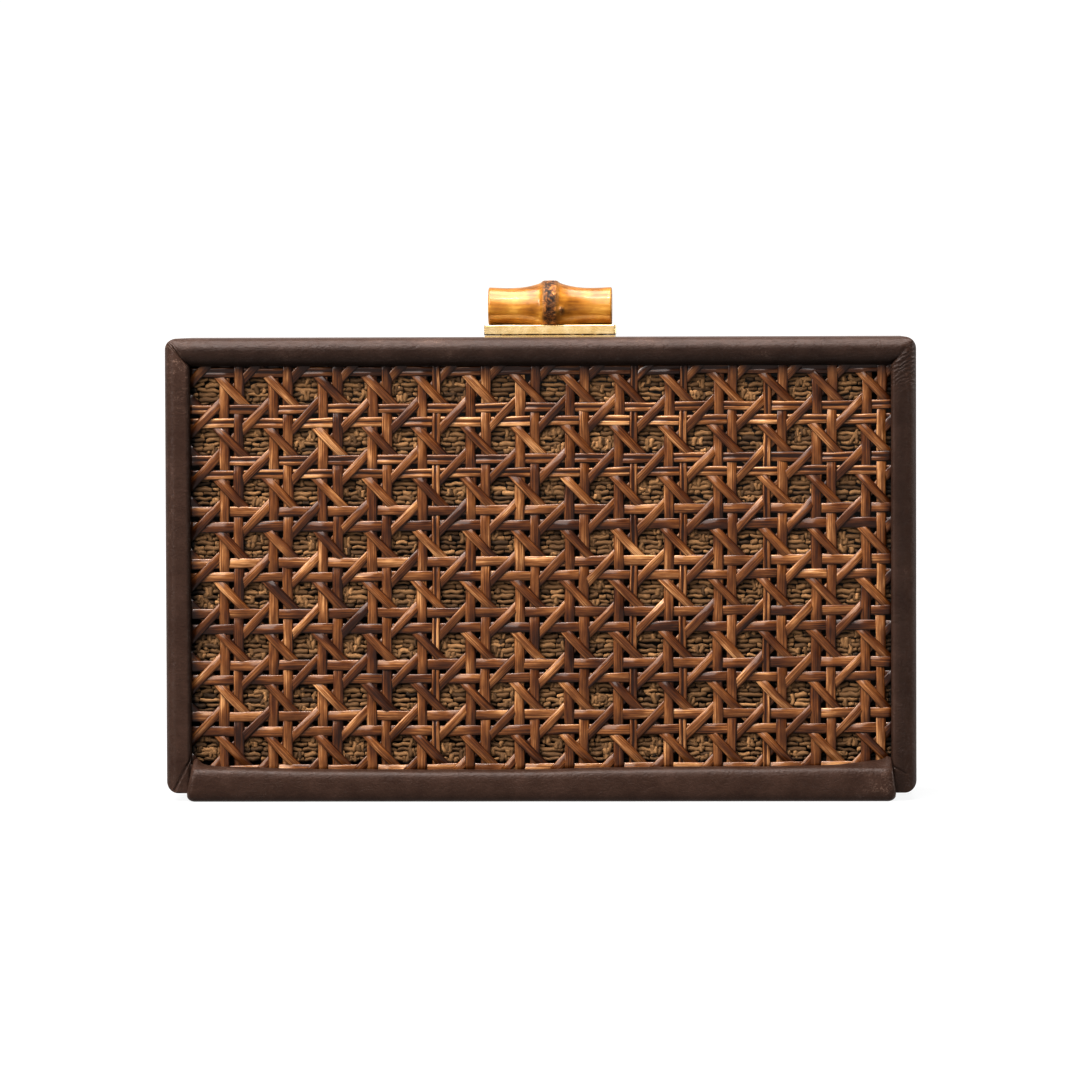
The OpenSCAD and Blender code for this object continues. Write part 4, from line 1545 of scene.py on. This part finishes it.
@dataclass(frozen=True)
class Studio:
    """White floor, soft light and the photo's camera."""

    BOXES: ClassVar[tuple[SoftBox, ...]] = (
        SoftBox("top_box", (-0.2, -0.3, 1.2), (-0.15, -0.29, 0), (1.2, 1.3), 60.0),
        SoftBox("key_box", (-0.65, -1.2, 1.0), (0, 0, 0.06), (1.5, 1.0), 37.0),
        SoftBox("strip_box", (-0.1, -0.62, 1.0), (0, 0, 0.12), (0.45, 0.05), 5.0),
        SoftBox("right_box", (1.3, 0.3, 0.45), (0.09, 0, 0.06), (0.4, 0.8), 10.0),
        SoftBox("left_box", (-1.2, -0.9, 0.6), (0, 0, 0.06), (0.4, 0.7), 15.0),
        SoftBox("front_card", (0.1, -2.0, 0.2), (0, 0, 0.12), (1.2, 0.5), 1.3))

    distance: float = 1.6
    yaw: float = 1.8
    eye_z: float = 0.124
    aim_x: float = 0.0
    aim_z: float = 0.0661
    roll: float = 0.18
    photo_width: float = 0.2728
    sensor_width: float = 36.0
    front_glow: float = 0.4
    back_glow: float = 1.05
    film_gamma: float = 0.72
    floor_reach: float = 30.0

    def build_floor(self) -> None:
        """Wide dark floor that glows by itself, so that the photo's white ground comes out."""
        mesh = bpy.data.meshes.new("floor")
        reach = self.floor_reach
        mesh.from_pydata([(-reach, -reach, 0), (reach, -reach, 0), (reach, reach, 0), (-reach, reach, 0)], [],
                         [(0, 1, 2, 3)])
        mesh.materials.append(PaleFloor().build())
        link(bpy.data.objects.new("floor", mesh))

    def build_light(self) -> None:
        """Soft boxes overhead and in front, weaker ones at the sides, a low card, and white surroundings behind."""
        for box in self.BOXES:
            box.hang()
        world = bpy.data.worlds.new("white_surroundings")
        world.use_nodes = True
        tree = world.node_tree
        tree.nodes.clear()
        split = add(tree, "SeparateXYZ", {0: add(tree, "TexCoord").outputs["Generated"]})
        level = add(tree, "MapRange", {"Value": split.outputs["Y"], "From Min": -0.3, "From Max": 0.8,
                                       "To Min": self.front_glow, "To Max": self.back_glow})
        glow = add(tree, "Background", {"Color": (1, 1, 1, 1), "Strength": level})
        add(tree, "OutputWorld", {"Surface": glow})
        bpy.context.scene.world = world

    def build_camera(self) -> None:
        """Long lens at the photo's angle, with its small roll."""
        data = bpy.data.cameras.new("camera")
        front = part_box("front_top_leather")[0].y
        aim = Vector((self.aim_x, front, self.aim_z))
        turn = math.radians(self.yaw)
        place = aim + Vector((math.sin(turn), -math.cos(turn), 0)) * self.distance
        place.z = self.eye_z
        data.sensor_width = self.sensor_width
        data.lens = self.sensor_width * (aim - place).length / self.photo_width
        data.clip_end = 100.0
        camera = bpy.data.objects.new("camera", data)
        camera.location = place
        camera.rotation_mode = "XYZ"
        camera.rotation_euler = (aim - place).to_track_quat("-Z", "Y").to_euler()
        camera.rotation_euler.rotate_axis("Z", math.radians(-self.roll))
        link(camera)
        bpy.context.scene.camera = camera

    def build(self) -> None:
        """Sets up the whole studio and plain colour handling."""
        self.build_floor()
        self.build_light()
        self.build_camera()
        view = bpy.context.scene.view_settings
        view.view_transform = "Standard"
        view.gamma = self.film_gamma


def main() -> None:
    """Builds the studio and every dressed piece."""
    logging.basicConfig(level=logging.INFO, format="%(name)s %(message)s")
    finishes = Finishes.make()
    sizes = BagSizes.read()
    LOG.info("%s", sizes)
    grid = WeaveGrid()
    Studio().build()
    HardParts().dress(finishes)
    for half in Half:
        LeatherRails(sizes, half).dress(finishes)
        BottomRoll(sizes, half).dress(finishes)
        CaneWeave(sizes, half, grid).dress(finishes)
        RaffiaMat(sizes, half, grid).dress(finishes)
    Clasp().dress(finishes)


if __name__ == "__main__":
    main()
